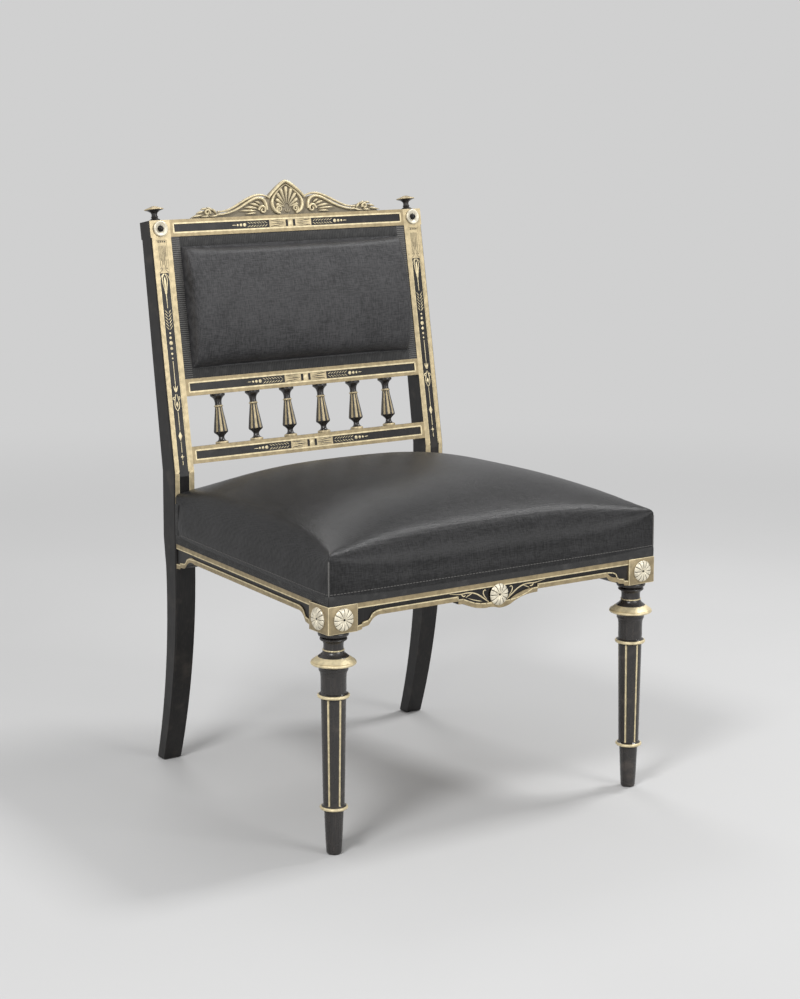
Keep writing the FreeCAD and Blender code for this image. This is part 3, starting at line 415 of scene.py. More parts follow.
@dataclass(frozen=True)
class ThreadAndHighlightLook:
    """Greyed silk thread in the stitches; the same pale finish is a painted highlight on rib crowns and
    corner welts.
    """

    def material(self) -> Material:
        """The thread, also used as a painted highlight."""
        bench = Bench("grey_thread_and_painted_highlight")
        twist = bench.noise(2400, 2)
        colour = bench.blend(twist.ramp(0.3, 0.7), (0.060, 0.058, 0.055), (0.15, 0.145, 0.138))
        return bench.surface(colour, twist * 0.2 + 0.5, twist, 0.1)


@dataclass(frozen=True)
class RawWoodLook:
    """Bare secondary wood inside the frame, with grain along one axis."""

    stretch: Triple
    name: str
    wood: Triple = (0.34, 0.22, 0.12)

    def material(self) -> Material:
        """The wood."""
        bench = Bench("unfinished_wood_" + self.name)
        grain = bench.noise(240, 5, self.stretch)
        broad = bench.noise(40, 3, self.stretch, 1.3)
        tone = (grain * 0.7 + broad * 0.5).ramp(0.35, 0.85)
        colour = bench.blend(tone, self.wood, tuple(0.48 * part for part in self.wood))
        return bench.surface(colour, grain * 0.2 + 0.6, grain, 0.15)


@dataclass(frozen=True)
class LinenLook:
    """Plain-woven jute in its natural brown."""

    name: str = "jute_linen"
    pitch: float = 1.6

    def material(self) -> Material:
        """The cloth, woven across and along."""
        bench = Bench(self.name)
        turn = 2 * math.pi / (self.pitch * MM)
        weave = (bench.x * turn).wave() * ((bench.y + bench.z) * turn).wave()
        slubs = bench.noise(500, 3, (1, 0.1, 0.1)) + bench.noise(500, 3, (0.1, 1, 1), 2.0)
        tone = (slubs * 0.5 + weave * 0.18).ramp(0.3, 0.75)
        colour = bench.blend(tone, (0.22, 0.16, 0.10), (0.46, 0.37, 0.25))
        return bench.surface(colour, slubs * 0.1 + 0.78, weave + slubs, 0.25)


@dataclass(frozen=True)
class FloorLook:
    """The pale studio floor, which runs out into the backdrop's even grey."""

    colour: Triple = (0.58, 0.58, 0.58)
    near: float = 1.1
    far: float = 3.4

    def material(self) -> Material:
        """A matte painted floor with faint clouds."""
        bench = Bench("studio_floor")
        clouds = bench.noise(0.9, 4).ramp(0.3, 0.7)
        dark = tuple(0.97 * part for part in self.colour)
        rough = bench.noise(6, 3, offset=2.0) * 0.1 + 0.8
        paint = bench.shader(bench.blend(clouds, dark, self.colour), rough, Specular_IOR_Level=0.1)
        far = bench.node("ShaderNodeVectorMath", {"operation": "LENGTH"}, {0: bench.place}, "Value")
        glow = bench.node("ShaderNodeEmission", values={"Color": (*(BACKDROP,) * 3, 1.0)})
        return bench.close(bench.node("ShaderNodeMixShader", values={
            0: far.ramp(self.near, self.far), 1: paint, 2: glow}))


# Shapes in millimetres.


def raked_frame() -> Matrix:
    """The raked frame of the back: X across, Y inwards from the post fronts, Z up the rake."""
    return (Matrix.Translation((0, ChairPlan.post_y, ChairPlan.bend))
            @ Matrix.Rotation(-ChairPlan.rake, 4, "X"))


class ChairPlan:
    """The places that the pieces share, in millimetres."""

    leg_x = 253.0
    leg_y = -249.0225
    post_y = 185.4775
    bend = 440.0
    rake = math.radians(10)
    front_face = -272.0225
    rail_front = -270.5225
    side_face = 276.0
    side_slope = 0.078689
    block_back = -226.0225
    post_in = 207.0
    stile_x = 223.5
    back_top = 368.0
    seat_line = 338.0
    frame_top = 388.0

    @classmethod
    def side(cls, back: float, inset: float = 0.0) -> float:
        """Half the width over the seat's splayed sides.

        Args:
            back: The place from front to back.
            inset: How far inside the face of the blocks.

        Returns:
            The X of the right side.
        """
        return cls.side_face - cls.side_slope * (back - cls.front_face) - inset

    @classmethod
    def stile_face(cls) -> Matrix:
        """The front of the raked back: across, up the rake, outwards."""
        return raked_frame() @ Matrix.Rotation(math.pi / 2, 4, "X")

    @classmethod
    def front_face_of_rail(cls) -> Matrix:
        """The front rail's face: across, up, outwards."""
        return standing_face(0, cls.rail_front, 0)

    @classmethod
    def side_face_of_rail(cls) -> Matrix:
        """The right side rail's face: backwards, up, outwards."""
        start = (cls.side(0, 1.5), 0, 0)
        lean = math.atan(cls.side_slope)
        return (Matrix.Translation(start) @ Matrix.Rotation(math.pi / 2 + lean, 4, "Z")
                @ Matrix.Rotation(math.pi / 2, 4, "X"))


def verts_of(items: Sequence[object]) -> List[bmesh.types.BMVert]:
    """The vertices among what an operator made."""
    return [item for item in items if isinstance(item, bmesh.types.BMVert)]


def paint_new(bm: Mesh, known: set, finish: int) -> None:
    """Give the faces made since known this material index."""
    for face in bm.faces:
        if face not in known:
            face.material_index = finish


def draw_in(vert: bmesh.types.BMVert, share: float) -> None:
    """Scale a vertex's distance from the Z axis."""
    vert.co.x *= share
    vert.co.y *= share


def turn_off(spot: Vector, count: int) -> float:
    """The angle from a spot to the nearest of evenly spaced rays round Z, the first along +X.

    Args:
        spot: The spot.
        count: How many rays there are.

    Returns:
        The angle in radians, negative before the ray.
    """
    pitch = 2 * math.pi / count
    return (math.atan2(spot.y, spot.x) + pitch / 2) % pitch - pitch / 2


def standing_face(across: float, away: float, level: float) -> Matrix:
    """A face that looks towards -Y from this place: across, up, outwards."""
    return Matrix.Translation((across, away, level)) @ Matrix.Rotation(math.pi / 2, 4, "X")


def box(bm: Mesh, middle: Sequence[float], size: Sequence[float], turn: float = 0.0) -> None:
    """Add a box.

    Args:
        bm: Receives the box.
        middle: Its centre.
        size: Its three sizes.
        turn: Its turn about Z in radians.
    """
    bmesh.ops.create_cube(bm, size=1, matrix=Matrix.Translation(middle)
                          @ Matrix.Rotation(turn, 4, "Z") @ Matrix.Diagonal((*size, 1)))


def turned(bm: Mesh, profile: Sequence[Point], steps: int, finish: int = 0) -> None:
    """Spin an open outline about Z.

    Args:
        bm: Receives the turning.
        profile: (radius, level) from one end to the other.
        steps: Facets round the turning.
        finish: The material index of its faces.
    """
    known = set(bm.faces)
    start = [bm.verts.new((radius, 0, level)) for radius, level in profile]
    edges = [bm.edges.new(pair) for pair in zip(start, start[1:])]
    bmesh.ops.spin(bm, geom=start + edges, cent=(0, 0, 0), axis=(0, 0, 1), angle=2 * math.pi,
                   steps=steps, use_merge=True, use_duplicate=False)
    paint_new(bm, known, finish)


def bead(inner: float, outer: float, low: float, high: float, parts: int = 8) -> List[Point]:
    """The outline of a half-round ring.

    Args:
        inner: Radius at its two edges.
        outer: Radius at its widest.
        low: Its lower level.
        high: Its upper level.
        parts: Facets over the half round.

    Returns:
        (radius, level) points from low to high.
    """
    middle, half = (low + high) / 2, (high - low) / 2
    return [(inner + (outer - inner) * math.sin(math.pi * part / parts),
             middle - half * math.cos(math.pi * part / parts)) for part in range(parts + 1)]


def smooth_line(corners: Sequence[Point], parts: int = 5) -> List[Point]:
    """A smooth outline through a few points.

    Args:
        corners: The points that the outline passes.
        parts: Pieces between two of them.

    Returns:
        The points of the outline.
    """
    ends = [corners[0], *corners, corners[-1]]
    line = []
    for before, start, end, after in zip(ends, ends[1:], ends[2:], ends[3:]):
        for part in range(parts):
            t = part / parts
            line.append(tuple(0.5 * (2 * b + (c - a) * t + (2 * a - 5 * b + 4 * c - d) * t * t
                                     + (3 * b - a - 3 * c + d) * t ** 3)
                              for a, b, c, d in zip(before, start, end, after)))
    return line + [tuple(corners[-1])]


def scroll(centre: Point, outer: float, inner: float, start: float, turns: float,
           wide: float, fine: float, parts: int = 9) -> List[Triple]:
    """A spiral that winds inwards.

    Args:
        centre: Its eye.
        outer: Radius where it starts.
        inner: Radius where it ends.
        start: The angle where it starts, in degrees.
        turns: How far it winds, in turns; negative is clockwise.
        wide: Half its width at the start.
        fine: Half its width at the end.
        parts: Points in each turn.

    Returns:
        The stroke's points, each with half its width there.
    """
    count = max(3, int(abs(turns) * parts) + 1)
    points = []
    for index in range(count + 1):
        t = index / count
        angle = math.radians(start) + 2 * math.pi * turns * t
        radius = outer + (inner - outer) * t
        points.append((centre[0] + radius * math.cos(angle), centre[1] + radius * math.sin(angle),
                       wide + (fine - wide) * t))
    return points


def along(line: Sequence[Point], widths: Sequence[float]) -> List[Triple]:
    """Give a line's points their half widths, spread evenly over it.

    Args:
        line: The points.
        widths: Half widths from start to end.

    Returns:
        The stroke's points.
    """
    stroke = []
    for index, (across, up) in enumerate(line):
        place = index / (len(line) - 1) * (len(widths) - 1)
        low = min(int(place), len(widths) - 2)
        share = place - low
        stroke.append((across, up, widths[low] * (1 - share) + widths[low + 1] * share))
    return stroke


class Relief:
    """Raised ornament drawn on a face: across, up and outwards, in millimetres."""

    def __init__(self, level: float = 0.0, rise: float = 0.25) -> None:
        """Start an empty relief.

        Args:
            level: How far the ground lies outside the face.
            rise: How far the ornament stands off its ground.
        """
        self.bm = bmesh.new()
        self.level = level
        self.rise = rise
        self.strokes: List[Tuple[Sequence[Triple], Tuple[int, float]]] = []
        self.finish = 0

    def dot(self, across: float, up: float, radius: float, sides: int = 14,
            shape: Tuple[float, float] = (1, 1)) -> None:
        """A raised disc, or a lozenge when it has four sides.

        Args:
            across: Its centre across.
            up: Its centre up.
            radius: Its radius.
            sides: How many sides it has.
            shape: Factors across and up.
        """
        known = set(self.bm.faces)
        bmesh.ops.create_cone(
            self.bm, cap_ends=True, segments=sides, radius1=radius, radius2=radius * 0.75,
            depth=self.rise, matrix=Matrix.Translation((across, up, self.level + self.rise / 2))
            @ Matrix.Diagonal((*shape, 1, 1)))
        paint_new(self.bm, known, self.finish)

    def bar(self, start: Point, end: Point, width: float) -> None:
        """A straight raised line.

        Args:
            start: One end.
            end: The other end.
            width: Its width.
        """
        known = set(self.bm.faces)
        across, up = end[0] - start[0], end[1] - start[1]
        middle = (start[0] + across / 2, start[1] + up / 2, self.level + self.rise / 2)
        box(self.bm, middle, (math.hypot(across, up), width, self.rise), math.atan2(up, across))
        paint_new(self.bm, known, self.finish)

    def path(self, corners: Sequence[Point], width: float) -> None:
        """A raised line with sharp corners, drawn on both sides of the middle.

        Args:
            corners: The points from one end to the other.
            width: Its width.
        """
        for sign in (-1, 1):
            for start, end in zip(corners, corners[1:]):
                run = Vector((end[0] - start[0], end[1] - start[1])).normalized() * width * 0.3
                self.bar((sign * (start[0] - run.x), start[1] - run.y),
                         (sign * (end[0] + run.x), end[1] + run.y), width)

    def frame(self, low: Point, high: Point, width: float) -> None:
        """A rectangle of four raised lines.

        Args:
            low: Its lower left corner.
            high: Its upper right corner.
            width: The width of a line.
        """
        (left, foot), (right, top) = low, high
        for start, end in (((left, foot), (right, foot)), ((left, top), (right, top)),
                           ((left, foot), (left, top)), ((right, foot), (right, top))):
            self.bar(start, end, width)

    def stroke(self, points: Sequence[Triple]) -> None:
        """A raised line of changing width through these points."""
        self.strokes.append((points, (self.finish, self.level)))

    def twins(self, points: Sequence[Triple]) -> None:
        """A stroke through these points and its mirror image."""
        for side in (-1, 1):
            self.stroke([(side * across, up, width) for across, up, width in points])

    def leaf(self, start: Point, end: Point, width: float, bend: float = 0.0) -> None:
        """A pointed leaf.

        Args:
            start: Its stem end.
            end: Its tip.
            width: Its greatest width.
            bend: How far its middle lies to the left of its chord.
        """
        across, up = end[0] - start[0], end[1] - start[1]
        length = math.hypot(across, up) or 1.0
        middle = (start[0] + across * 0.45 - up / length * bend,
                  start[1] + up * 0.45 + across / length * bend)
        self.stroke([(*start, width * 0.15), (*middle, width * 0.75), (*end, 0.05)])

    def twin_leaves(self, start: Point, end: Point, width: float, bend: float = 0.0) -> None:
        """A leaf and its mirror image, given as for one leaf."""
        for side in (-1, 1):
            self.leaf((side * start[0], start[1]), (side * end[0], end[1]), width, side * bend)

    def lay_strokes(self, flatten: float, sides: int, parts: int) -> None:
        """Turn the strokes drawn so far into meshes.

        Args:
            flatten: Factor on their thickness.
            sides: The curve's bevel resolution.
            parts: The curve's resolution.
        """
        for kind in sorted({made for _, made in self.strokes}):
            curve = bpy.data.curves.new("strokes", "CURVE")
            curve.dimensions = "3D"
            curve.twist_mode = "Z_UP"
            curve.bevel_depth = 1.0
            curve.bevel_resolution = sides
            curve.resolution_u = parts
            curve.use_fill_caps = True
            for points, made in self.strokes:
                if made != kind:
                    continue
                spline = curve.splines.new("NURBS")
                spline.points.add(len(points) - 1)
                for spot, (across, up, width) in zip(spline.points, points):
                    spot.co = (across, up, 0, 1)
                    spot.radius = width
                spline.order_u = min(4, len(points))
                spline.use_endpoint_u = True
            holder = bpy.data.objects.new("strokes", curve)
            mesh = bpy.data.meshes.new_from_object(holder)
            mesh.transform(Matrix.Translation((0, 0, kind[1]))
                           @ Matrix.Diagonal((1, 1, flatten, 1)))
            known = set(self.bm.faces)
            self.bm.from_mesh(mesh)
            paint_new(self.bm, known, kind[0])
            bpy.data.objects.remove(holder)
            bpy.data.curves.remove(curve)
            bpy.data.meshes.remove(mesh)
        self.strokes = []

    def onto(self, place: Matrix, flatten: float = 0.45, sides: int = 1,
             parts: int = 3) -> Mesh:
        """Lay the relief on a face.

        Args:
            place: The face's matrix.
            flatten: Factor on the strokes' thickness.
            sides: The strokes' bevel resolution.
            parts: The strokes' resolution.

        Returns:
            The mesh in the chair's frame, in millimetres.
        """
        self.lay_strokes(flatten, sides, parts)
        self.bm.transform(place)
        return self.bm


def mirrored(bm: Mesh) -> None:
    """Add the mirror image across the plane X = 0."""
    twin = bmesh.ops.duplicate(bm, geom=bm.verts[:] + bm.edges[:] + bm.faces[:])["geom"]
    bmesh.ops.scale(bm, vec=(-1, 1, 1), verts=verts_of(twin))
    bmesh.ops.reverse_faces(bm, faces=[item for item in twin if isinstance(item, bmesh.types.BMFace)])


def joined(parts: Sequence[Mesh]) -> Mesh:
    """Put several meshes into one and free them.

    Args:
        parts: The meshes.

    Returns:
        One mesh with all of them.
    """
    whole = bmesh.new()
    for part in parts:
        mesh = bpy.data.meshes.new("part")
        part.to_mesh(mesh)
        part.free()
        whole.from_mesh(mesh)
        bpy.data.meshes.remove(mesh)
    return whole


def quilted(columns: Sequence[float], rows: Sequence[float],
            front: Surface, back: Surface,
            keep: Optional[Callable[[float, float], bool]] = None,
            pale: Optional[Callable[[float, float], bool]] = None) -> Mesh:
    """A closed body between a shaped front and a back, over a grid.

    Args:
        columns: Grid places across.
        rows: Grid places along.
        front: The front surface's point for a grid place.
        back: The back's point for a grid place.
        keep: Tells whether the cell round a place is part of the body.
        pale: Tells whether the cell round a place has the second finish.

    Returns:
        The closed mesh.
    """
    bm = bmesh.new()
    wide, long = len(columns) - 1, len(rows) - 1
    bmesh.ops.create_grid(bm, x_segments=wide, y_segments=long, size=0.5)
    layer = bm.verts.layers.int.new("spot")
    table = []
    for vert in bm.verts:
        vert[layer] = len(table)
        table.append((columns[round((vert.co.x + 0.5) * wide)],
                      rows[round((vert.co.y + 0.5) * long)]))
    outside = []
    for face in bm.faces:
        across = sum(table[vert[layer]][0] for vert in face.verts) / 4
        away = sum(table[vert[layer]][1] for vert in face.verts) / 4
        if keep is not None and not keep(across, away):
            outside.append(face)
        elif pale is not None and pale(across, away):
            face.material_index = 1
    bmesh.ops.delete(bm, geom=outside, context="FACES")
    rim = [edge for edge in bm.edges if edge.is_boundary]
    fresh = bmesh.ops.extrude_edge_only(bm, edges=rim)["geom"]
    turned_down = set(verts_of(fresh))
    for vert in bm.verts:
        place = table[vert[layer]]
        vert.co = back(*place) if vert in turned_down else front(*place)
    open_rim = [edge for edge in bm.edges if edge.is_boundary]
    bmesh.ops.holes_fill(bm, edges=open_rim, sides=0)
    return bm


def spaced(low: float, high: float, count: int) -> List[float]:
    """Evenly spaced numbers.

    Args:
        low: The first.
        high: The last.
        count: How many steps lie between them.

    Returns:
        The numbers.
    """
    return [low + (high - low) * index / count for index in range(count + 1)]


def stepped(low: float, high: float, steps: Sequence[float], count: int) -> List[float]:
    """Places from low to high that lie closer together at both ends.

    Args:
        low: The first.
        high: The last.
        steps: The distances of the close places from their end.
        count: How many even steps lie between the close places.

    Returns:
        The places.
    """
    return ([low + step for step in steps] + spaced(low + steps[-1], high - steps[-1], count)[1:-1]
            + [high - step for step in reversed(steps)])


def finished(name: str, bm: Mesh, looks: Sequence[Material], slot: Slot,
             replaces: Sequence[str] = (), crease: float = 34.0) -> bpy.types.Object:
    """Turn a mesh in millimetres into a finished piece of the chair.

    Args:
        name: The piece's name.
        bm: Its mesh, which is freed.
        looks: Materials by index.
        slot: Not used.
        replaces: The CAD nodes that it stands for.
        crease: Edges sharper than this many degrees stay sharp.

    Returns:
        The piece's object.
    """
    bmesh.ops.remove_doubles(bm, verts=bm.verts[:], dist=WELD)
    bmesh.ops.recalc_face_normals(bm, faces=bm.faces[:])
    bmesh.ops.scale(bm, vec=(MM, MM, MM), verts=bm.verts[:])
    mesh = bpy.data.meshes.new(name)
    bm.to_mesh(mesh)
    bm.free()
    piece = bpy.data.objects.new(name, mesh)
    bpy.context.scene.collection.objects.link(piece)
    for look in looks:
        mesh.materials.append(look)
    mesh.shade_smooth()
    mesh.set_sharp_from_angle(angle=math.radians(crease))
    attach(piece, "root")
    if replaces:
        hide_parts(*replaces)
    log.info("%s: %d faces", name, len(mesh.polygons))
    return piece


def dress_node(name: str, look: Material) -> None:
    """Give a CAD node that stays its finish.

    Args:
        name: The node's name.
        look: Its material.
    """
    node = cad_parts[name]
    if not node.data.materials:
        node.data.materials.append(look)
    for slot in node.material_slots:
        slot.link = "OBJECT"
        slot.material = look
    log.info("%s dressed", name)


class Finishes:
    """The chair's materials, made once."""

    def __init__(self) -> None:
        """Make every finish."""
        self.ebony = EbonyLook().material()
        self.turned = EbonyLook((0.022, 0.020, 0.019), (0.060, 0.050, 0.043), 0.16, 0.55).material()
        self.pale = GiltLook(Gilding.PALE).material()
        self.bright = GiltLook(Gilding.BRIGHT).material()
        self.soft = GiltLook(Gilding.SOFT).material()
        self.dull = GiltLook(Gilding.DULL).material()
        self.seat_cloth = HorsehairLook("seat_horsehair", 0.15, 0.26, (0.007, 0.007, 0.0072),
                                        (0.028, 0.0275, 0.0285)).material()
        self.back_cloth = HorsehairLook("back_horsehair", 0.27, 0.24, (0.025, 0.025, 0.026),
                                        (0.070, 0.069, 0.071), 1.3).material()
        self.gimp = GimpLook().material()
        self.thread = ThreadAndHighlightLook().material()
        self.linen = LinenLook().material()
        self.web = LinenLook("webbing", 2.6).material()


# Sub-assemblies.


@dataclass
class FrontLegs:
    """The two turned and fluted front legs under their square blocks."""

    block: float = 46.0
    block_low: float = 300.7
    ease: float = 0.9
    top_inset: float = 9.0
    flute_count: int = 6
    flute_width: float = 3.2
    flute_sink: float = 1.1
    steps: int = 144
    flute_low: float = 68.5
    flute_top: float = 209.0
    foot: Tuple[float, float] = (14.2, 67.2)
    top: Tuple[float, float] = (16.5, 210.4)

    def ebony_bands(self) -> List[List[Point]]:
        """The dark turned parts from the foot to the block."""
        return [
            [(0.0, 0.0), (7.6, 0.0), (9.2, 0.7), (10.1, 2.4)]
            + smooth_line([(10.3, 4.0), (11.3, 22.0), (12.1, 42.0), (12.7, 55.0), (12.9, 59.0)], 3),
            [(12.9, 59.0), (14.4, 60.0), (16.6, 61.4)],
            [(16.6, 65.6), (15.0, 66.6), (14.2, 67.2)],
            [(16.5, 210.4), (17.6, 211.0), (19.6, 212.2)],
            [(19.6, 216.6), (18.0, 217.8), (16.9, 218.6), (16.7, 220.4)]
            + smooth_line([(17.0, 222.0), (16.9, 234.0), (17.3, 243.0), (18.6, 247.4)], 3),
            [(18.6, 247.4), (19.4, 248.4), (19.6, 251.4), (21.0, 253.4), (26.6, 256.0)],
            smooth_line([(20.6, 266.8), (19.4, 267.8), (16.8, 269.8), (14.8, 272.0), (13.7, 274.6)], 3),
            smooth_line([(13.5, 276.4), (13.2, 281.0), (13.6, 285.0), (15.4, 288.0)], 3),
            bead(15.4, 18.2, 288.0, 292.4, 6),
            [(15.6, 292.4), (16.4, 293.0), (19.2, 294.4)] + bead(19.4, 20.6, 294.8, 299.6, 6)
            + [(19.4, 300.7), (0.0, 300.7)],
        ]

    def shaft(self, bm: Mesh) -> None:
        """The fluted taper between the rings."""
        levels = spaced(self.flute_low - 1.0, self.flute_low + 3, 5)[:-1]
        levels += spaced(self.flute_low + 3, self.flute_top - 3, 24)[:-1]
        levels += spaced(self.flute_top - 3, self.flute_top + 1.0, 5)
        profile = [self.foot]
        for level in levels:
            share = (level - self.foot[1]) / (self.top[1] - self.foot[1])
            profile.append((self.foot[0] + (self.top[0] - self.foot[0]) * share, level))
        profile.append(self.top)
        turned(bm, profile, self.steps)
        for face in bm.faces:
            if self.in_flute(face.calc_center_median()) > 0.3:
                face.material_index = 1
        for vert in bm.verts:
            radius = math.hypot(vert.co.x, vert.co.y)
            draw_in(vert, (radius - self.flute_sink * self.in_flute(vert.co)) / radius)

    def in_flute(self, spot: Vector) -> float:
        """How deep in a flute a spot on the shaft lies.

        Args:
            spot: The spot, with the leg's axis on Z.

        Returns:
            0 outside every flute and up to 1 along its middle.
        """
        angle = turn_off(Vector((-spot.y, spot.x)), self.flute_count)
        beyond = max(self.flute_low - spot.z, spot.z - self.flute_top, 0)
        away = math.hypot(math.hypot(spot.x, spot.y) * angle, beyond) / (self.flute_width / 2)
        return math.sqrt(max(0.0, 1 - away * away))

    def turning(self) -> Mesh:
        """The whole turned leg on the Z axis: dark wood is 0 and gilding 1."""
        bm = bmesh.new()
        self.shaft(bm)
        for band in self.ebony_bands():
            turned(bm, band, 72)
        turned(bm, bead(16.6, 18.7, 61.4, 65.6, 6), 72, 1)
        turned(bm, bead(19.6, 21.5, 212.2, 216.6, 6), 72, 1)
        turned(bm, [(26.6, 256.0)] + bead(28.2, 30.25, 256.4, 260.4) + [(29.2, 260.8)]
               + smooth_line([(28.2, 261.4), (25.4, 263.4), (22.4, 265.6), (20.6, 266.8)], 3), 96, 1)
        turned(bm, [(13.7, 274.6)] + bead(13.8, 14.6, 274.8, 276.2, 4) + [(13.5, 276.4)], 72, 1)
        return bm

    def block_body(self) -> Mesh:
        """The square block with its eased edges and its narrower top under the seat's cover."""
        bm = bmesh.new()
        height = ChairPlan.seat_line - self.block_low
        box(bm, (0, 0, self.block_low + height / 2), (self.block, self.block, height))
        for face in bm.faces:
            face.material_index = 2 if abs(face.normal.z) < 0.5 else 0
        # Painted highlight: the eased arrises take the brighter gilding, lighter than the block's faces.
        for face in bmesh.ops.bevel(bm, geom=bm.edges[:], offset=self.ease, segments=2, profile=0.5,
                                    affect="EDGES", material=-1)["faces"]:
            face.material_index = 1
        low, high = ChairPlan.seat_line - 1, ChairPlan.frame_top
        width = self.block - self.top_inset
        box(bm, (-self.top_inset / 2, self.top_inset / 2, (low + high) / 2), (width, width, high - low))
        return bm

    def build(self, finishes: Finishes) -> None:
        """Make both legs."""
        for side, sign in SIDES:
            bm = joined([self.turning(), self.block_body()])
            bmesh.ops.scale(bm, vec=(sign, 1, 1), verts=bm.verts[:])
            bmesh.ops.translate(bm, vec=(sign * ChairPlan.leg_x, ChairPlan.leg_y, 0), verts=bm.verts[:])
            node = "front_leg_" + side
            finished(node + "_turned", bm, [finishes.turned, finishes.bright, finishes.dull],
                     Slot.EBONY, [node])


@dataclass
class RearPosts:
    """The rear posts, kept from the frame, with gilt fronts and incised stiles."""

    field_half: float = 8.5
    sink: float = 0.8
    line: float = 1.1
    ground_low: float = 291.0
    ground_high: float = 338.5

    def dress(self) -> None:
        """Give the posts their finish: gilding on the raised front of the stiles."""
        look = ParcelGiltLook("parcel_gilt_stiles", depth_of_stile, 0.4, 396,
                              GiltLook(Gilding.SOFT)).material()
        for side, _ in SIDES:
            dress_node("rear_post_" + side, look)

    def reeds(self) -> Relief:
        """The bundle of reeds at the top, dark lines cut in a pale ground."""
        art = Relief(-self.sink, 0.5)
        art.finish = 1
        art.bar((0, self.ground_low), (0, self.ground_high), 2 * self.field_half - 0.4)
        art.level, art.rise, art.finish = -0.35, 0.3, 2
        for across in spaced(-6.2, 4.3, 3):
            art.bar((across, 336.6), (across + 2, 336.6), 2.0)
        for points in (
                [(1.3, 331, 0.3), (3.0, 321, 0.45), (1.1, 309, 0.45), (2.2, 301, 0.4), (5.2, 295.5, 0.5),
                 (6.4, 298.5, 0.35)],
                [(5.6, 331, 0.3), (5.9, 318, 0.45), (4.3, 307, 0.45), (4.8, 300, 0.3)],
                [(3.6, 331, 0.3), (4.4, 320, 0.4), (2.9, 309, 0.4)],
                [(1.6, 299, 0.4), (3.6, 293.5, 0.45), (7.6, 292.2, 0.4)]):
            art.twins(points)
        art.stroke([(0, 331, 0.3), (0, 318, 0.5), (0, 303, 0.3)])
        return art

    def ornament(self) -> Relief:
        """The stile's incised and gilded ornament on its sunk field."""
        art = Relief(-self.sink, 0.3)
        for side in (-1, 1):
            art.bar((side * 8.0, 2), (side * 8.0, 291), self.line)
        art.twins([(1.0, 261, 0.5), (1.6, 268, 0.6), (4.6, 278, 0.7), (4.2, 286, 0.7),
                   (0.6, 290, 0.6)])
        art.twins([(1.2, 290, 0.5), (5.6, 288, 0.5), (7.6, 282, 0.4)])
        art.stroke([(0, 286, 0.2), (0, 280, 2.3), (0, 273, 1.9), (0, 263, 0.9),
                    (0, 254, 0.6), (0, 240, 0.5)])
        for index in range(6):
            up = 236.5 - index * 4.7
            art.twin_leaves((0.9, up - 4.4), (5.6, up + 1.6), 1.25, 0.4)
        for up, radius in ((203.8, 1.5), (197, 2.1), (189.5, 3.0), (181.5, 2.3), (173.8, 1.8),
                           (167, 1.3)):
            art.dot(0, up, radius)
        for start, end, width in ((163, 129, 0.9), (89, 62, 0.8), (46, 30, 0.8), (18, 12, 0.8)):
            art.bar((0, start), (0, end), width)
        for side in (-1, 0, 1):
            art.leaf((side * 0.8, 118), (side * 3.4, 129 - abs(side) * 2), 2.4, 0)
        art.twins(scroll((3.6, 109.5), 2.6, 0.8, -90, 0.9, 0.65, 0.5))
        art.twins([(1.0, 115, 0.5), (2.6, 106.9, 0.65), (5.2, 100, 0.65), (2.4, 93, 0.6),
                   (0, 90.5, 0.5)])
        art.dot(0, 100, 3.0, 4, (0.8, 1.5))
        art.dot(0, 54, 4.6, 4, (0.68, 1.6))
        art.dot(0, 23.7, 1.9)
        for turn in (0, 90, 180, 270):
            angle = math.radians(turn)
            reach = 4.6 if turn % 180 else 3.2
            art.leaf((0, 23.7), (reach * math.cos(angle), 23.7 + reach * math.sin(angle)), 1.1)
        return art

    def lower_lines(self) -> Mesh:
        """The border lines that run on below the bend, down to the seat."""
        lines = Relief(0.0, 0.2)
        for across in (-8.6, 8.6):
            lines.bar((across, 397), (across, 439.5), self.line)
        return lines.onto(standing_face(ChairPlan.stile_x, ChairPlan.post_y, 0))

    def build(self, finishes: Finishes) -> None:
        """Dress the posts and lay the ornament on both stiles."""
        self.dress()
        face = ChairPlan.stile_face() @ Matrix.Translation((ChairPlan.stile_x, 0, 0))
        bm = joined([self.ornament().onto(face), self.reeds().onto(face), self.lower_lines()])
        mirrored(bm)
        finished("stile_inlay", bm, [finishes.bright, finishes.soft, finishes.ebony], Slot.GILT)


def depth_of_stile(bench: Bench) -> Shade:
    """How far a place lies behind the stile's gilt front, in metres.

    Below the bend the front stands upright, and its painted field counts as sunk.

    Args:
        bench: The finish's bench.

    Returns:
        The depth.
    """
    upright = bench.y - ChairPlan.post_y * MM
    off_middle = (bench.x.size() - ChairPlan.stile_x * MM).size()
    in_field = (off_middle < RearPosts.field_half * MM) * (bench.z < ChairPlan.bend * MM)
    return depth_behind_back(bench).least(upright) + in_field * 0.01


def depth_behind_back(bench: Bench) -> Shade:
    """How far a place lies behind the raked front of the back, in metres."""
    lean = ChairPlan.rake
    return ((bench.y - ChairPlan.post_y * MM) * math.cos(lean)
            - (bench.z - ChairPlan.bend * MM) * math.sin(lean))


def depth_behind_front(bench: Bench) -> Shade:
    """How far a place lies behind the front rail's face, in metres."""
    return bench.y - ChairPlan.rail_front * MM


def depth_behind_side(bench: Bench) -> Shade:
    """How far a place lies inside the side rails' faces, in metres."""
    face = ChairPlan.side(0, 1.5) * MM
    return face - bench.y * ChairPlan.side_slope - bench.x.size()


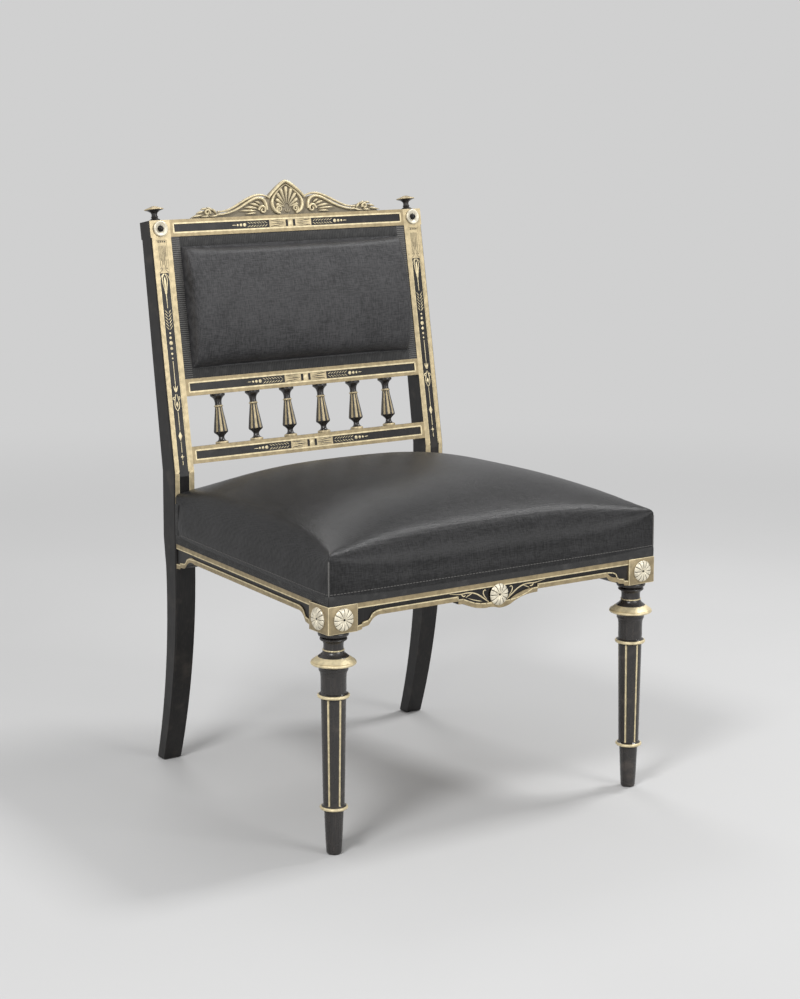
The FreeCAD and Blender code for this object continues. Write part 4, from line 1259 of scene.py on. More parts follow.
@dataclass
class BackRails:
    """The three rails of the back with a gilt border and an inlaid dark panel."""

    levels: Tuple[float, ...] = (11.7, 110.4, 343.0)
    height: float = 25.0
    border: float = 7.0
    panel_half: float = 200.0
    sink: float = 0.8

    def ornament(self) -> Relief:
        """The ornament of the three rails."""
        art = Relief(-self.sink, 0.3)
        for level in self.levels:
            self.one_rail(art, level + self.height / 2)
        return art

    def one_rail(self, art: Relief, middle: float) -> None:
        """The circle, fans, husks and dots along one rail.

        Args:
            art: Receives the ornament.
            middle: The level of the rail's middle.
        """
        tall = self.height - 2 * self.border
        art.level, art.rise, art.finish = -self.sink, 0.5, 1
        art.bar((-37.0, middle), (37.0, middle), tall)
        art.level, art.rise, art.finish = -0.32, 0.25, 2
        for side in (-1, 1):
            art.bar((side * 4.4, middle), (side * 8.4, middle), tall - 1.0)
        art.twin_leaves((10.5, middle), (33.5, middle), 1.7)
        for up in (-1, 1):
            art.twins([(11.5, middle + up * 1.9, 0.1), (22, middle + up * 2.7, 0.7),
                       (34.6, middle + up * 4.3, 0.9), (35.2, middle + up * 4.4, 0.1)])
            art.twins([(12.5, middle + up * 4.4, 0.1), (20, middle + up * 4.9, 0.5),
                       (30.0, middle + up * 5.1, 0.1)])
        art.finish = 0
        art.dot(0, middle, 3.6, 20)
        art.level, art.rise = -self.sink, 0.3
        for index in range(7):
            across = 40.5 + index * 4.9
            for up in (-1, 1):
                art.twin_leaves((across, middle + up * 0.9), (across + 5.4, middle + up * 4.3), 1.0)
        for across, radius in ((80.0, 2.7), (86.4, 2.2), (92.0, 1.7)):
            art.dot(across, middle, radius)
            art.dot(-across, middle, radius)
        art.twin_leaves((95, middle), (102, middle), 1.2)

    def build(self, finishes: Finishes) -> None:
        """Dress the rails and lay their lines and ornament."""
        look = ParcelGiltLook("parcel_gilt_back_rails", depth_behind_back, 0.4, 0.0,
                              GiltLook(Gilding.DULL)).material()
        for place in ("lower", "middle", "top"):
            dress_node(place + "_back_rail", look)
        lines = Relief(0.0, 0.16)
        for level in self.levels:
            low, high = level + self.border - 1.3, level + self.height - self.border + 1.3
            lines.frame((-self.panel_half - 1.3, low), (self.panel_half + 1.3, high), 1.9)
        bm = joined([self.ornament().onto(ChairPlan.stile_face()),
                     lines.onto(ChairPlan.stile_face())])
        finished("back_rail_inlay", bm, [finishes.bright, finishes.soft, finishes.ebony], Slot.GILT)


@dataclass
class SeatRails:
    """The front and side rails with gilt edges and scrolls, and the plain rear rail."""

    field_sink: float = 1.5
    stain: Triple = (0.075, 0.048, 0.030)
    line: float = 1.5
    top_line: float = 331.3
    field_end: float = 230.0
    apron_line: Tuple[Point, ...] = (
        (229.6, 307.1), (221.6, 308.3), (221.5, 310.6), (211.9, 312.2), (209.2, 315.0),
        (206.4, 320.4), (201.0, 322.8), (190.0, 324.2), (67.9, 324.2), (67.9, 319.9), (59.2, 319.7),
        (50.0, 315.8), (40.0, 312.0), (30.0, 309.9), (20.4, 309.0), (10.0, 308.6), (0.0, 306.6))

    def front_ornament(self) -> Relief:
        """Scrolls and tendrils beside the apron's rosette."""
        art = Relief(-self.field_sink, 0.4)
        for points in (
                [(15.5, 310.4, 0.6), (24.6, 316.6, 1.0), (32, 322.4, 0.9), (42.2, 326.6, 0.9),
                 (53.9, 327.6, 0.9), (61, 326.4, 0.7), (68.5, 327.2, 0.6), (81, 329.3, 0.3)],
                [(61, 327.0, 0.5), (60.4, 323.6, 1.0), (56.6, 321.9, 0.9), (54.8, 324.2, 0.5)],
                [(44, 325.4, 0.4), (50, 323.4, 0.7), (53.9, 321.2, 0.4)],
                [(18.7, 314.4, 0.4), (24.6, 320.6, 0.8), (25.5, 326.0, 0.8), (22.6, 328.4, 0.7),
                 (20.2, 326.6, 0.6)]):
            art.twins(points)
        art.twin_leaves((27, 312.6), (50, 319.6), 1.6, -1.0)
        return art

    def side_line(self) -> List[Point]:
        """The bright line under the side rail's field, from the block to the post."""
        bracket = [(self.field_end - across, up) for across, up in self.apron_line[:8]]
        return [(ChairPlan.block_back + run, up) for run, up in bracket] + [
            (ChairPlan.post_y - 1.5 * run, up) for run, up in bracket[::-1]]

    def build(self, finishes: Finishes) -> None:
        """Dress the rails and lay their lines."""
        dull = GiltLook(Gilding.DULL)
        front = ParcelGiltLook("parcel_gilt_front_rail", depth_behind_front, 0.7, 0, dull).material()
        dress_node("front_seat_rail", front)
        side = ParcelGiltLook("parcel_gilt_side_rails", depth_behind_side, 0.7, 0, dull).material()
        for name, _ in SIDES:
            dress_node("side_seat_rail_" + name, side)
        dress_node("rear_seat_rail", RawWoodLook((0.05, 1, 1), "stained_rail", self.stain).material())
        lines = Relief(0.0, 0.2)
        end = self.field_end - 0.5
        lines.bar((-end, self.top_line), (end, self.top_line), self.line)
        lines.path(self.apron_line, self.line)
        face = ChairPlan.front_face_of_rail()
        bm = joined([self.front_ornament().onto(face), lines.onto(face)])
        finished("front_rail_inlay", bm, [finishes.bright], Slot.GILT)
        edge = Relief(0.0, 0.2)
        edge.bar((ChairPlan.block_back + 1, self.top_line), (ChairPlan.post_y - 1, self.top_line),
                 self.line)
        corners = self.side_line()
        for start, end in zip(corners, corners[1:]):
            edge.bar(start, end, self.line)
        bm = edge.onto(ChairPlan.side_face_of_rail())
        mirrored(bm)
        finished("side_rail_inlay", bm, [finishes.bright], Slot.GILT)


@dataclass
class Spindles:
    """The six reeded spindles between the lower and middle back rails."""

    count: int = 6
    pitch: float = 59.7
    inward: float = 11.0
    low: float = 36.7
    reeds: int = 8
    groove: float = 0.13
    steps: int = 96

    def body(self) -> Mesh:
        """One spindle on the Z axis from 0 to 73.7."""
        bm = bmesh.new()
        swell = [(4.1, 9.4), (4.5, 10.8), (5.6, 12.4), (8.0, 14.6), (10.4, 16.4), (10.9, 17.8),
                 (10.8, 19.4)]
        swell += smooth_line([(10.4, 21.6), (9.5, 28.0), (8.3, 36.0), (7.0, 44.0), (6.0, 51.0),
                              (5.6, 54.0)], 3)
        turned(bm, swell, self.steps)
        for face in bm.faces:
            spot = face.calc_center_median()
            off = abs(turn_off(spot, self.reeds)) * self.reeds / (2 * math.pi)
            if off > 0.26 and 18.0 < spot.z < 53.0:
                face.material_index = 1
        for vert in bm.verts:
            ridge = max(0.0, math.cos(self.reeds * turn_off(vert.co, self.reeds)))
            fade = max(0.0, min(1.0, (vert.co.z - 11) / 5, (54.0 - vert.co.z) / 3))
            draw_in(vert, 1 - self.groove * (1 - ridge) * fade)
        turned(bm, [(0, 0), (9.6, 0)] + bead(9.3, 9.8, 0.2, 3.0, 4)[1:] + [(8.9, 3.4)], 48, 1)
        turned(bm, [(8.9, 3.4), (6.6, 4.3), (4.8, 6.2), (4.1, 9.4)], 48)
        turned(bm, [(5.7, 54.0)] + bead(5.8, 6.8, 54.3, 56.3, 4) + [(5.4, 56.8)], 48, 1)
        turned(bm, smooth_line([(5.4, 56.8), (5.0, 59.0), (5.3, 63.0), (6.6, 66.6), (9.6, 69.6)], 3)
               + [(10.8, 70.4), (11.0, 71.4), (11.0, 73.2), (10.6, 73.7), (0, 73.7)], 48)
        return bm

    def build(self, finishes: Finishes) -> None:
        """Make the row."""
        row = []
        for index in range(self.count):
            bm = self.body()
            across = (index - (self.count - 1) / 2) * self.pitch
            bm.transform(raked_frame() @ Matrix.Translation((across, self.inward, self.low)))
            row.append(bm)
        finished("back_spindles_reeded", joined(row), [finishes.turned, finishes.soft], Slot.EBONY,
                 ["back_spindles"])


@dataclass
class Finials:
    """The mushroom finials on the posts."""

    inward: float = 13.0

    def build(self, finishes: Finishes) -> None:
        """Turn both finials."""
        bm = bmesh.new()
        turned(bm, [(0, 0), (8.3, 0), (8.3, 1.2), (7.4, 2.4), (5.4, 3.6), (4.6, 4.8), (5.3, 5.6),
                    (5.3, 6.4), (4.3, 7.4), (4.2, 10.0), (5.4, 12.6), (9.0, 14.9), (12.6, 16.2)], 48)
        turned(bm, bead(12.6, 14.25, 16.2, 18.2, 6), 64, 1)
        turned(bm, smooth_line([(12.6, 18.2), (9.0, 19.4), (5.6, 20.8), (2.6, 21.8), (0.0, 22.0)], 4),
               64, 2)
        bm.transform(raked_frame()
                     @ Matrix.Translation((ChairPlan.stile_x, self.inward, ChairPlan.back_top)))
        mirrored(bm)
        finished("post_finials", bm, [finishes.turned, finishes.soft, finishes.dull], Slot.EBONY,
                 ["finials"])


@dataclass
class Rosettes:
    """The petalled rosettes of the blocks and apron, and the roundels of the stile tops."""

    petals: int = 12
    level: float = 319.35
    roundel_level: float = 355.5

    def flower(self) -> Mesh:
        """One rosette facing +Z on the origin."""
        bm = bmesh.new()
        turned(bm, [(0, 0), (14.0, 0), (14.7, 0.4), (15.0, 1.2), (14.8, 2.0), (14.0, 2.9), (12.6, 3.7),
                    (10.8, 4.3), (8.6, 4.6), (6.2, 4.5), (4.2, 4.1), (2.8, 3.5), (1.6, 3.1), (0, 3.0)],
               self.petals * 14, 1)
        pitch = 2 * math.pi / self.petals
        # Painted shade: the thin grooves between the petals take the dark ebony finish; the small centre
        # is painted dark as well.
        for face in bm.faces:
            spot = face.calc_center_median()
            radius = math.hypot(spot.x, spot.y)
            between = abs(turn_off(spot, self.petals)) < pitch / 14
            if spot.z > 0.3 and (between and radius < 14.4 or radius < 1.7):
                face.material_index = 0
        for vert in bm.verts:
            radius = math.hypot(vert.co.x, vert.co.y)
            groove = math.exp(-(turn_off(vert.co, self.petals) / pitch * 9) ** 2)
            if vert.co.z > 0.1:
                vert.co.z -= 0.9 * groove * min(1.0, vert.co.z / 2.2) * min(1.0, radius / 3)
            if radius > 13:
                draw_in(vert, 1 - 0.03 * groove * (radius - 13) / 2)
        return bm

    def roundel(self) -> Mesh:
        """One dished roundel facing +Z on the origin."""
        bm = bmesh.new()
        turned(bm, [(0, 0), (11.4, 0), (11.5, 0.9)], 56)
        turned(bm, [(11.5, 0.9)] + bead(11.0, 11.4, 1.0, 3.2, 4)[1:]
               + [(10.0, 3.6), (8.8, 3.3), (6.8, 2.2), (4.8, 1.4)], 56, 1)
        turned(bm, smooth_line([(4.8, 1.4), (4.0, 1.5), (3.9, 3.4), (3.2, 4.9), (1.4, 5.6),
                                (0, 5.6)], 3), 32)
        return bm

    def build(self, finishes: Finishes) -> None:
        """Make and place every rosette and roundel."""
        looks = [finishes.ebony, finishes.pale]
        forward = Matrix.Rotation(math.pi / 2, 4, "X")
        places = []
        for side, sign in SIDES:
            outward = Matrix.Rotation(sign * math.pi / 2, 4, "Y")
            places += [
                ("front_rosette", "_" + side, (sign * ChairPlan.leg_x, ChairPlan.front_face), forward),
                ("side_rosette", "_" + side, (sign * ChairPlan.side_face, ChairPlan.leg_y), outward)]
        places.append(("apron_rosette", "", (0, ChairPlan.rail_front), forward))
        for kind, end, spot, way in places:
            bm = self.flower()
            bm.transform(Matrix.Translation((*spot, self.level)) @ way)
            finished(kind + "_petals" + end, bm, looks, Slot.GILT, [kind + end])
        bm = self.roundel()
        bm.transform(ChairPlan.stile_face()
                     @ Matrix.Translation((ChairPlan.stile_x, self.roundel_level, 0)))
        mirrored(bm)
        finished("stile_roundels_dished", bm, looks, Slot.GILT, ["stile_roundels"])


@dataclass
class Crest:
    """The carved crest: an arch over a shell, between two scrolled arms."""

    thick: float = 18.0
    board_front: float = 7.0
    ground: float = 5.4
    outline: Tuple[Point, ...] = (
        (0, 49.0), (7, 47.0), (17, 39.5), (28, 31.0), (36, 26.5), (50, 29.0), (60, 27.0), (73, 22.5),
        (86, 16.0), (100, 9.0), (113, 5.5), (122, 6.0), (127, 12.0), (141, 12.0), (156, 5.5),
        (166, 0.0))

    def board(self) -> Mesh:
        """The board behind the carving."""
        bm = bmesh.new()
        right = smooth_line(self.outline, 2)
        loop = right + [(-across, up) for across, up in reversed(right[1:])]
        corners = [bm.verts.new((across, self.board_front, max(up, 0.0))) for across, up in loop]
        face = bm.faces.new(corners)
        fresh = bmesh.ops.extrude_face_region(bm, geom=[face])["geom"]
        bmesh.ops.translate(bm, vec=(0, self.thick - self.board_front, 0), verts=verts_of(fresh))
        bmesh.ops.triangulate(bm, faces=bm.faces[:])
        return bm

    def carving(self) -> Relief:
        """The moulded arch, scrolled arms, volutes and leaves."""
        art = Relief(0.0, 3.0)
        for line, widths in (
                ([(32, 26), (27, 32.0), (18, 39.4), (8, 47.4), (2, 50.4), (0, 50.6)], (2.0, 2.7, 2.4)),
                ([(0, 46.4), (6, 43.4), (15, 36.4), (23.4, 28.4), (27.4, 19.0), (26.0, 10.0),
                  (20.6, 4.2), (14, 2.2)], (0.9, 1.2, 1.9, 2.7, 2.9, 1.8)),
                ([(36.6, 8.6), (36.6, 17.0), (40.0, 24.4), (48.5, 27.4), (59, 26.0), (70, 20.6),
                  (84, 13.2), (98, 7.6), (112, 4.6), (126, 4.0)], (2.3, 2.5, 2.3, 2.0, 1.4)),
                ([(32, 27.5), (40, 31.0), (50, 32.2), (61, 29.6), (74, 24.4), (87, 18.0), (100, 11.6),
                  (112, 8.6), (122, 9.0)], (1.4, 1.9, 1.8, 1.3))):
            art.twins(along(line, widths))
        art.twins(scroll((14.2, 9.0), 6.0, 1.0, 270, 1.5, 1.7, 1.5))
        art.twins(scroll((43.8, 8.6), 1.4, 7.2, 90, -1.25, 1.4, 2.3))
        art.twins(scroll((139.5, 8.4), 5.2, 1.2, 200, -1.2, 2.0, 1.3))
        for start, end, width, bend in (
                ((47, 17.5), (57, 22.6), 4.6, 1.2), ((50, 14.5), (67, 19.0), 5.0, 1.6),
                ((53, 11.0), (77, 13.6), 5.0, 1.6), ((55, 7.6), (86, 8.4), 4.6, 1.2),
                ((55, 4.4), (76, 3.4), 4.2, 0.4), ((124, 6), (132, 14.6), 4.4, 1.0),
                ((130, 11), (141, 16.0), 4.0, 1.4), ((140, 14), (151, 12.6), 4.2, 1.2),
                ((146, 10), (159, 7.0), 4.2, 1.2), ((148, 5), (168, 2.0), 4.2, 0.8),
                ((122, 3.4), (137, 2.4), 4.0, -0.6), ((136, 3.4), (152, 2.2), 4.0, -0.4),
                ((112, 3), (124, 7.4), 3.4, 0.8)):
            art.twin_leaves(start, end, width, bend)
        for across, up, radius in ((119, 9.0, 2.0), (153, 8.6, 1.8), (139.5, 8.4, 2.2)):
            art.twins([(across - 0.2, up, 0.3), (across, up, radius), (across + 0.2, up, 0.3)])
        return art

    def shell(self) -> Relief:
        """The fluted shell under the arch."""
        art = Relief(-0.5, 3.0)
        count = 9
        for index in range(count):
            turn = math.radians(14 + 152 * index / (count - 1))
            reach = 19.0 + 12.5 * math.sin(turn) ** 2
            art.stroke([
                (reach * share * math.cos(turn), 11.5 + reach * share * math.sin(turn), width)
                for share, width in ((0.20, 0.8), (0.5, 1.7), (0.78, 2.9), (0.94, 3.3), (1.0, 1.6))])
        for side in (-1, 0, 1):
            art.leaf((side * 1.5, 3.6), (side * 4.6, 10.0 - abs(side) * 1.5), 2.6)
        return art

    def build(self, finishes: Finishes) -> None:
        """Carve and place the crest."""
        place = raked_frame() @ Matrix.Translation((0, 0, ChairPlan.back_top))
        front = place @ standing_face(0, self.ground, 0)
        board = self.board()
        board.transform(place)
        art = joined([self.carving().onto(front, 1.6, 3, 5), self.shell().onto(front, 1.2, 3, 4)])
        finished("crest_carved", joined([board, art]), [CarvedGiltLook().material()], Slot.GILT,
                 ["crest_carving"], 50)


@dataclass
class SeatUpholstery:
    """The stuffed seat under horsehair, its gimp, burlap and webbing."""

    seam_level: float = 400.0
    corner_round: float = 5.0
    front_edge: Point = (23.0, 25.5)
    side_edge: Point = (15.0, 34.0)
    rear_edge: Point = (20.0, 14.0)
    lift: float = 5.6
    dome: float = 45.2
    bow: float = 12.0
    peak: float = 0.53
    dome_powers: Triple = (2.96, 3.55, 2.67)
    edge_powers: Point = (5.3, 6.0)
    seam: float = 1.1
    stitch_level: float = 15.6
    wall: float = 6.2
    hollow_rise: float = 53.3
    skirt_swell: float = 2.6
    front: float = -270.5225
    back: float = 219.4775
    inset: float = 1.5
    ease: float = 0.3
    rib: float = 1.5
    gimp_height: float = 13.0
    end_gimp: Point = (10.0, 396.5)
    stitch: Point = (5.2, 3.5)
    cloth_ends: Point = (-263.9, 211.3)
    cloth_inset: float = 8.1
    cloth_tail: float = 206.7
    cloth_levels: Point = (391.0, 390.5)
    strap_count: int = 4
    strap_width: float = 50.0
    strap_start: float = -244.5225
    strap_levels: Point = (388.05, 389.25)

    def notch(self) -> float:
        """The depth where the seat narrows between the posts."""
        return ChairPlan.post_y - self.ease

    def clear_of_posts(self, narrow: float) -> Callable[[float, float], bool]:
        """Tells which cells lie outside the notches for the posts.

        Args:
            narrow: The half width between the notches, as a share of the whole half width.

        Returns:
            The test on a cell's share across and its depth.
        """
        return lambda share, away: away < self.notch() or abs(share) < narrow

    def half(self, away: float) -> float:
        """Half the seat's width at a depth, before the notches."""
        return ChairPlan.side(min(away, self.notch()), self.inset)

    def crown(self, share: float, away: float) -> float:
        """The level of the stuffed top.

        Args:
            share: Place across as a share of the half width.
            away: Place from front to back.

        Returns:
            The level before the edge is rounded.
        """
        depth = (away - self.front) / (self.back - self.front)
        before, behind = max(1 - depth / self.peak, 0), max((depth - self.peak) / (1 - self.peak), 0)
        across_power, front_power, rear_power = self.dome_powers
        over = 1 - abs(share) ** across_power
        long = 1 - before ** front_power - behind ** rear_power
        return self.seam_level + self.lift + (self.dome * over + self.bow) * long

    def rounding(self, edge: float, shoulder: Point, ease: float) -> float:
        """How far the rounded edge drops below the crown.

        Args:
            edge: Distance from the edge.
            shoulder: The shoulder's reach and drop beyond those of a corner.
            ease: 1 in the middle of the edge and 0 at its ends.

        Returns:
            The drop.
        """
        reach, drop = (self.corner_round + part * ease for part in shoulder)
        gap = max(reach - edge, 0.0) / reach
        return drop * (1 - math.sqrt(max(1 - gap ** 2, 0.0)))

    def top(self, share: float, away: float) -> Vector:
        """The point of the top for a share across and a depth."""
        half = self.half(away)
        place = 2 * (away - self.front) / (self.notch() - self.front) - 1
        across, along_side = (1 - min(1.0, abs(part)) ** power
                              for part, power in zip((share, place), self.edge_powers))
        drop = math.hypot(self.rounding(away - self.front, self.front_edge, across),
                          self.rounding(half * (1 - abs(share)), self.side_edge, along_side),
                          self.rounding(self.back - away, self.rear_edge, across))
        return Vector((share * half, away, self.crown(share, away) - drop))

    def bulge(self, rise: float, ends: float) -> float:
        """How far the skirt swells out.

        Args:
            rise: Place up the skirt, from 0 to 1.
            ends: 1 in the middle of a side and 0 at its corners.

        Returns:
            The swell.
        """
        return self.skirt_swell * math.sin(math.pi * rise) ** 2 * ends

    def front_ends(self, across: float) -> float:
        """How free the front skirt is to swell at a place across."""
        return max(0.0, 1 - abs(across / self.half(self.front)) ** 14)

    def side_ends(self, away: float) -> float:
        """How free the side skirts are to swell at a place along them."""
        return max(0.0, min(1.0, (away - self.front) / 25, (self.notch() - away) / 25)) ** 0.5

    def foot(self, share: float, away: float) -> Vector:
        """The point of the skirt's foot under a place on the rim."""
        return Vector((share * self.half(away), away, ChairPlan.seat_line))

    def body(self) -> Mesh:
        """The cushion: crowned top, skirt and hollow underside."""
        narrow = (ChairPlan.post_in - self.ease) / self.half(self.notch())
        fine = [0, 0.25, 0.9, 2.0, 3.6, 5.6, 8.2, 11.4, 15, 19, 23.5, 28.5, 34]
        half = self.half(0)
        shares = [1 - step / half for step in fine]
        shares += [narrow + 0.03, narrow, narrow - 0.03]
        shares += spaced(narrow - 0.03, 0, 22)[1:]
        columns = sorted([-share for share in shares if share > 0] + shares)
        rows = [self.front + step for step in fine]
        rows += spaced(self.front + 34, self.notch(), 32)[1:]
        rows += [self.back - step for step in fine if step < 33]
        bm = quilted(columns, sorted(set(rows)), self.top, self.foot, self.clear_of_posts(narrow))
        self.shape_skirt(bm)
        return bm

    def shape_skirt(self, bm: Mesh) -> None:
        """Swell the skirt between its corners and hollow the underside over the frame."""
        floor = ChairPlan.seat_line + 0.01
        sides = [edge for edge in bm.edges
                 if min(v.co.z for v in edge.verts) < floor < max(v.co.z for v in edge.verts)]
        tops = {(round(vert.co.x, 3), round(vert.co.y, 3)): max(v.co.z for v in edge.verts)
                for edge in sides for vert in edge.verts}
        bmesh.ops.subdivide_edges(bm, edges=sides, cuts=6, use_grid_fill=True)
        base = [face for face in bm.faces
                if len(face.verts) > 4 and all(v.co.z < floor for v in face.verts)]
        raised = set()
        for rise in (0.0, self.hollow_rise):
            fresh = bmesh.ops.extrude_face_region(bm, geom=base)["geom"]
            bmesh.ops.delete(bm, geom=base, context="FACES_ONLY")
            base = [item for item in fresh if isinstance(item, bmesh.types.BMFace)]
            ring = verts_of(fresh)
            for vert in ring:
                vert.co = self.hollow_wall(vert.co) + Vector((0, 0, rise))
            raised.update(ring)
        for vert in bm.verts:
            rim = tops.get((round(vert.co.x, 3), round(vert.co.y, 3)))
            if rim is None or vert in raised or not floor < vert.co.z < rim - 0.01:
                continue
            rise = (vert.co.z - ChairPlan.seat_line) / (rim - ChairPlan.seat_line)
            across, away = vert.co.x, vert.co.y
            if abs(away - self.front) < 0.01:
                vert.co.y -= self.bulge(rise, self.front_ends(across))
            if abs(abs(across) - self.half(away)) < 0.02:
                vert.co.x += math.copysign(self.bulge(rise, self.side_ends(away)), across)

    def hollow_wall(self, spot: Vector) -> Vector:
        """The place on the wall of the hollow underside next to a place on the skirt's foot.

        Args:
            spot: The place on the foot's outline.

        Returns:
            The place moved in by the wall's thickness.
        """
        between = spot.y > self.notch() + 0.01
        last = self.back if between else self.notch()
        away = min(max(spot.y, self.front + self.wall), last - self.wall)
        limit = ChairPlan.post_in - self.ease if between else self.half(away)
        across = min(abs(spot.x), limit - self.wall)
        return Vector((math.copysign(across, spot.x), away, spot.z))

    def corner_seams(self) -> Mesh:
        """The narrow welts up the two front corners, whose pale thread finish paints the highlight along
        each corner.
        """
        bm = bmesh.new()
        top = self.top(1.0, self.front)
        for sign in (-1, 1):
            foot = ChairPlan.seat_line + self.gimp_height
            corner = [(0, foot), (self.seam * 0.8, foot + 0.4)]
            corner += [(self.seam, level) for level in spaced(foot + 3, top.z - 3, 12)]
            corner += [(self.seam * 0.6, top.z - 1.2), (0, top.z - 0.4)]
            known = set(bm.verts)
            # Painted highlight: the real welt takes the pale thread finish, index 1, which stands for
            # the corner's highlight.
            turned(bm, corner, 12, 1)
            bmesh.ops.translate(bm, vec=(sign * (top.x - 0.2), self.front + 0.2, 0),
                                verts=[vert for vert in bm.verts if vert not in known])
        return bm

    def gimp_strip(self, start: Vector, end: Vector, low: float, high: float,
                   outward: Vector) -> Mesh:
        """A ribbed braid along a straight line.

        Args:
            start: Where it starts, on the floor.
            end: Where it ends, on the floor.
            low: Its lower level.
            high: Its upper level.
            outward: Its outward direction.

        Returns:
            The strip.
        """
        length = (end - start).length
        columns = spaced(0, length, int(length / self.rib * 4))
        rows = stepped(low, high, (0, 0.6, 1.6), 2)

        def inside(run: float, level: float) -> Vector:
            """The flat inside."""
            return start.lerp(end, run / length) + Vector((0, 0, level))

        def face(run: float, level: float) -> Vector:
            """The ribbed outside."""
            rim = min(level - low, high - level) / 1.6
            rib = 0.5 + 0.5 * math.cos(2 * math.pi * run / self.rib)
            return inside(run, level) + outward * (0.5 + 0.35 * rib + 0.35 * min(rim, 1.0))

        return quilted(columns, rows, face, inside)

    def stitches(self) -> Mesh:
        """The row of stitches above the gimp, along the front and both sides."""
        bm = bmesh.new()
        pitch, long = self.stitch
        half = self.half(self.front)

        def swell(rim: Vector, ends: float) -> float:
            """How far the skirt swells at the stitches, under a place on the rim."""
            return self.bulge(self.stitch_level / (rim.z - ChairPlan.seat_line), ends)

        spots = []
        for across in spaced(-half + 4, half - 4, int(2 * half / pitch)):
            out = swell(self.top(across / half, self.front), self.front_ends(across))
            spots.append((across, self.front - out, 0.0))
        for away in spaced(self.front + 4, self.notch() - 22, int(430 / pitch)):
            out = swell(self.top(1.0, away), self.side_ends(away))
            for sign in (-1, 1):
                spots.append((sign * (self.half(away) + out), away,
                              math.pi / 2 + sign * ChairPlan.side_slope))
        for across, away, turn in spots:
            box(bm, (across, away, ChairPlan.seat_line + self.stitch_level), (long, 0.9, 0.9), turn)
        for face in bm.faces:
            face.material_index = 1
        return bm

    def gimp(self, finishes: Finishes) -> None:
        """The band round the foot of the cover and the short bands beside the posts."""
        inner = self.inset - 0.1
        corner = Vector((ChairPlan.side(self.front, inner), self.front - 0.1, 0))
        rear = Vector((ChairPlan.side(self.notch(), inner), self.notch(), 0))
        across = Vector((-corner.x, corner.y, 0))
        low, high = ChairPlan.seat_line, ChairPlan.seat_line + self.gimp_height
        side = (rear - corner).normalized()
        out = Vector((side.y, -side.x, 0))
        looks = [finishes.gimp, finishes.thread]
        front = self.gimp_strip(across, corner, low, high, Vector((0, -1, 0)))
        right = self.gimp_strip(corner, rear, low, high, out)
        mirrored(right)
        finished("seat_gimp_braid", joined([front, right, self.stitches()]), looks, Slot.GIMP,
                 ["seat_gimp"])
        length, top = self.end_gimp
        for name, sign in SIDES:
            strip = self.gimp_strip(rear - side * length, rear, high, top, out)
            bmesh.ops.scale(strip, vec=(sign, 1, 1), verts=strip.verts[:])
            node = "seat_end_gimp_" + name
            finished(node + "_braid", strip, looks, Slot.GIMP, [node])

    def cloth_half(self, away: float) -> float:
        """Half the width of the burlap and the webbing at a depth."""
        return ChairPlan.side(away, self.cloth_inset)

    def burlap(self, finishes: Finishes) -> None:
        """The burlap over the webbing, narrowed between the posts."""
        (front, back), notch = self.cloth_ends, self.notch()
        narrow = self.cloth_tail / self.cloth_half(notch)

        def level(lift: float) -> Surface:
            """A faintly waving surface at a height over the frame."""
            def spot(share: float, away: float) -> Vector:
                """The point for a share across and a depth."""
                dip = 0.105 * math.cos(away / 9) * math.cos(share * 24)
                return Vector((share * self.cloth_half(min(away, notch)), away, lift + dip))
            return spot

        columns = sorted(spaced(-narrow, narrow, 30) + [-1, 1])
        rows = spaced(front, notch, 36) + spaced(notch, back, 3)[1:]
        top, under = self.cloth_levels
        bm = quilted(columns, rows, level(top), level(under), self.clear_of_posts(narrow))
        burlap = finished("seat_burlap_cloth", bm, [finishes.linen], Slot.LINEN, ["seat_burlap"])
        area = ((self.cloth_half(front) + self.cloth_half(notch)) * (notch - front)
                + 2 * self.cloth_tail * (back - notch)) * MM * MM
        size = (2 * self.cloth_half(front) * MM, (back - front) * MM)

    def webbing(self, finishes: Finishes) -> None:
        """The straps over the frame, four across and four over them."""
        (front, back), half = self.cloth_ends, self.strap_width / 2
        pitch = (ChairPlan.post_y - self.strap_start) / self.strap_count
        straps, area = [], 0.0
        for index in range(self.strap_count):
            centre = self.strap_start + pitch * (index + 0.5)
            end = self.cloth_half(centre + half)
            straps.append(self.strap((-end, centre - half), (end, centre + half),
                                     self.strap_levels[0], 0))
            middle = ChairPlan.post_in * (index - 1.5) / 2
            straps.append(self.strap((middle - half, front), (middle + half, back),
                                     self.strap_levels[1], 1))
            area += (2 * end + back - front) * self.strap_width * MM * MM
        webbing = finished("seat_webbing_straps", joined(straps), [finishes.web], Slot.LINEN,
                           ["seat_webbing"])

    def strap(self, low: Point, high: Point, level: float, way: int) -> Mesh:
        """One woven strap with fine ribs along its edges.

        Args:
            low: Its lower corner in plan.
            high: Its upper corner in plan.
            level: Its underside.
            way: 0 where it runs across and 1 where it runs from front to back.

        Returns:
            The strap.
        """
        def top(across: float, away: float) -> Vector:
            """The upper face, thinner at the selvedges."""
            place, start, end = ((away, low[1], high[1]) if way == 0 else (across, low[0], high[0]))
            rim = min(place - start, end - place, 3.0) / 3.0
            return Vector((across, away, level + 0.7 + 0.35 * rim))

        def under(across: float, away: float) -> Vector:
            """The lower face."""
            return Vector((across, away, level))

        return quilted(spaced(low[0], high[0], 16), spaced(low[1], high[1], 16), top, under)

    def build(self, finishes: Finishes) -> None:
        """Make everything of the seat."""
        bm = joined([self.body(), self.corner_seams()])
        cushion = finished("seat_cushion_stuffed", bm, [finishes.seat_cloth, finishes.thread],
                           Slot.HAIR, ["seat_cushion"], 48)
        self.gimp(finishes)
        self.burlap(finishes)
        self.webbing(finishes)


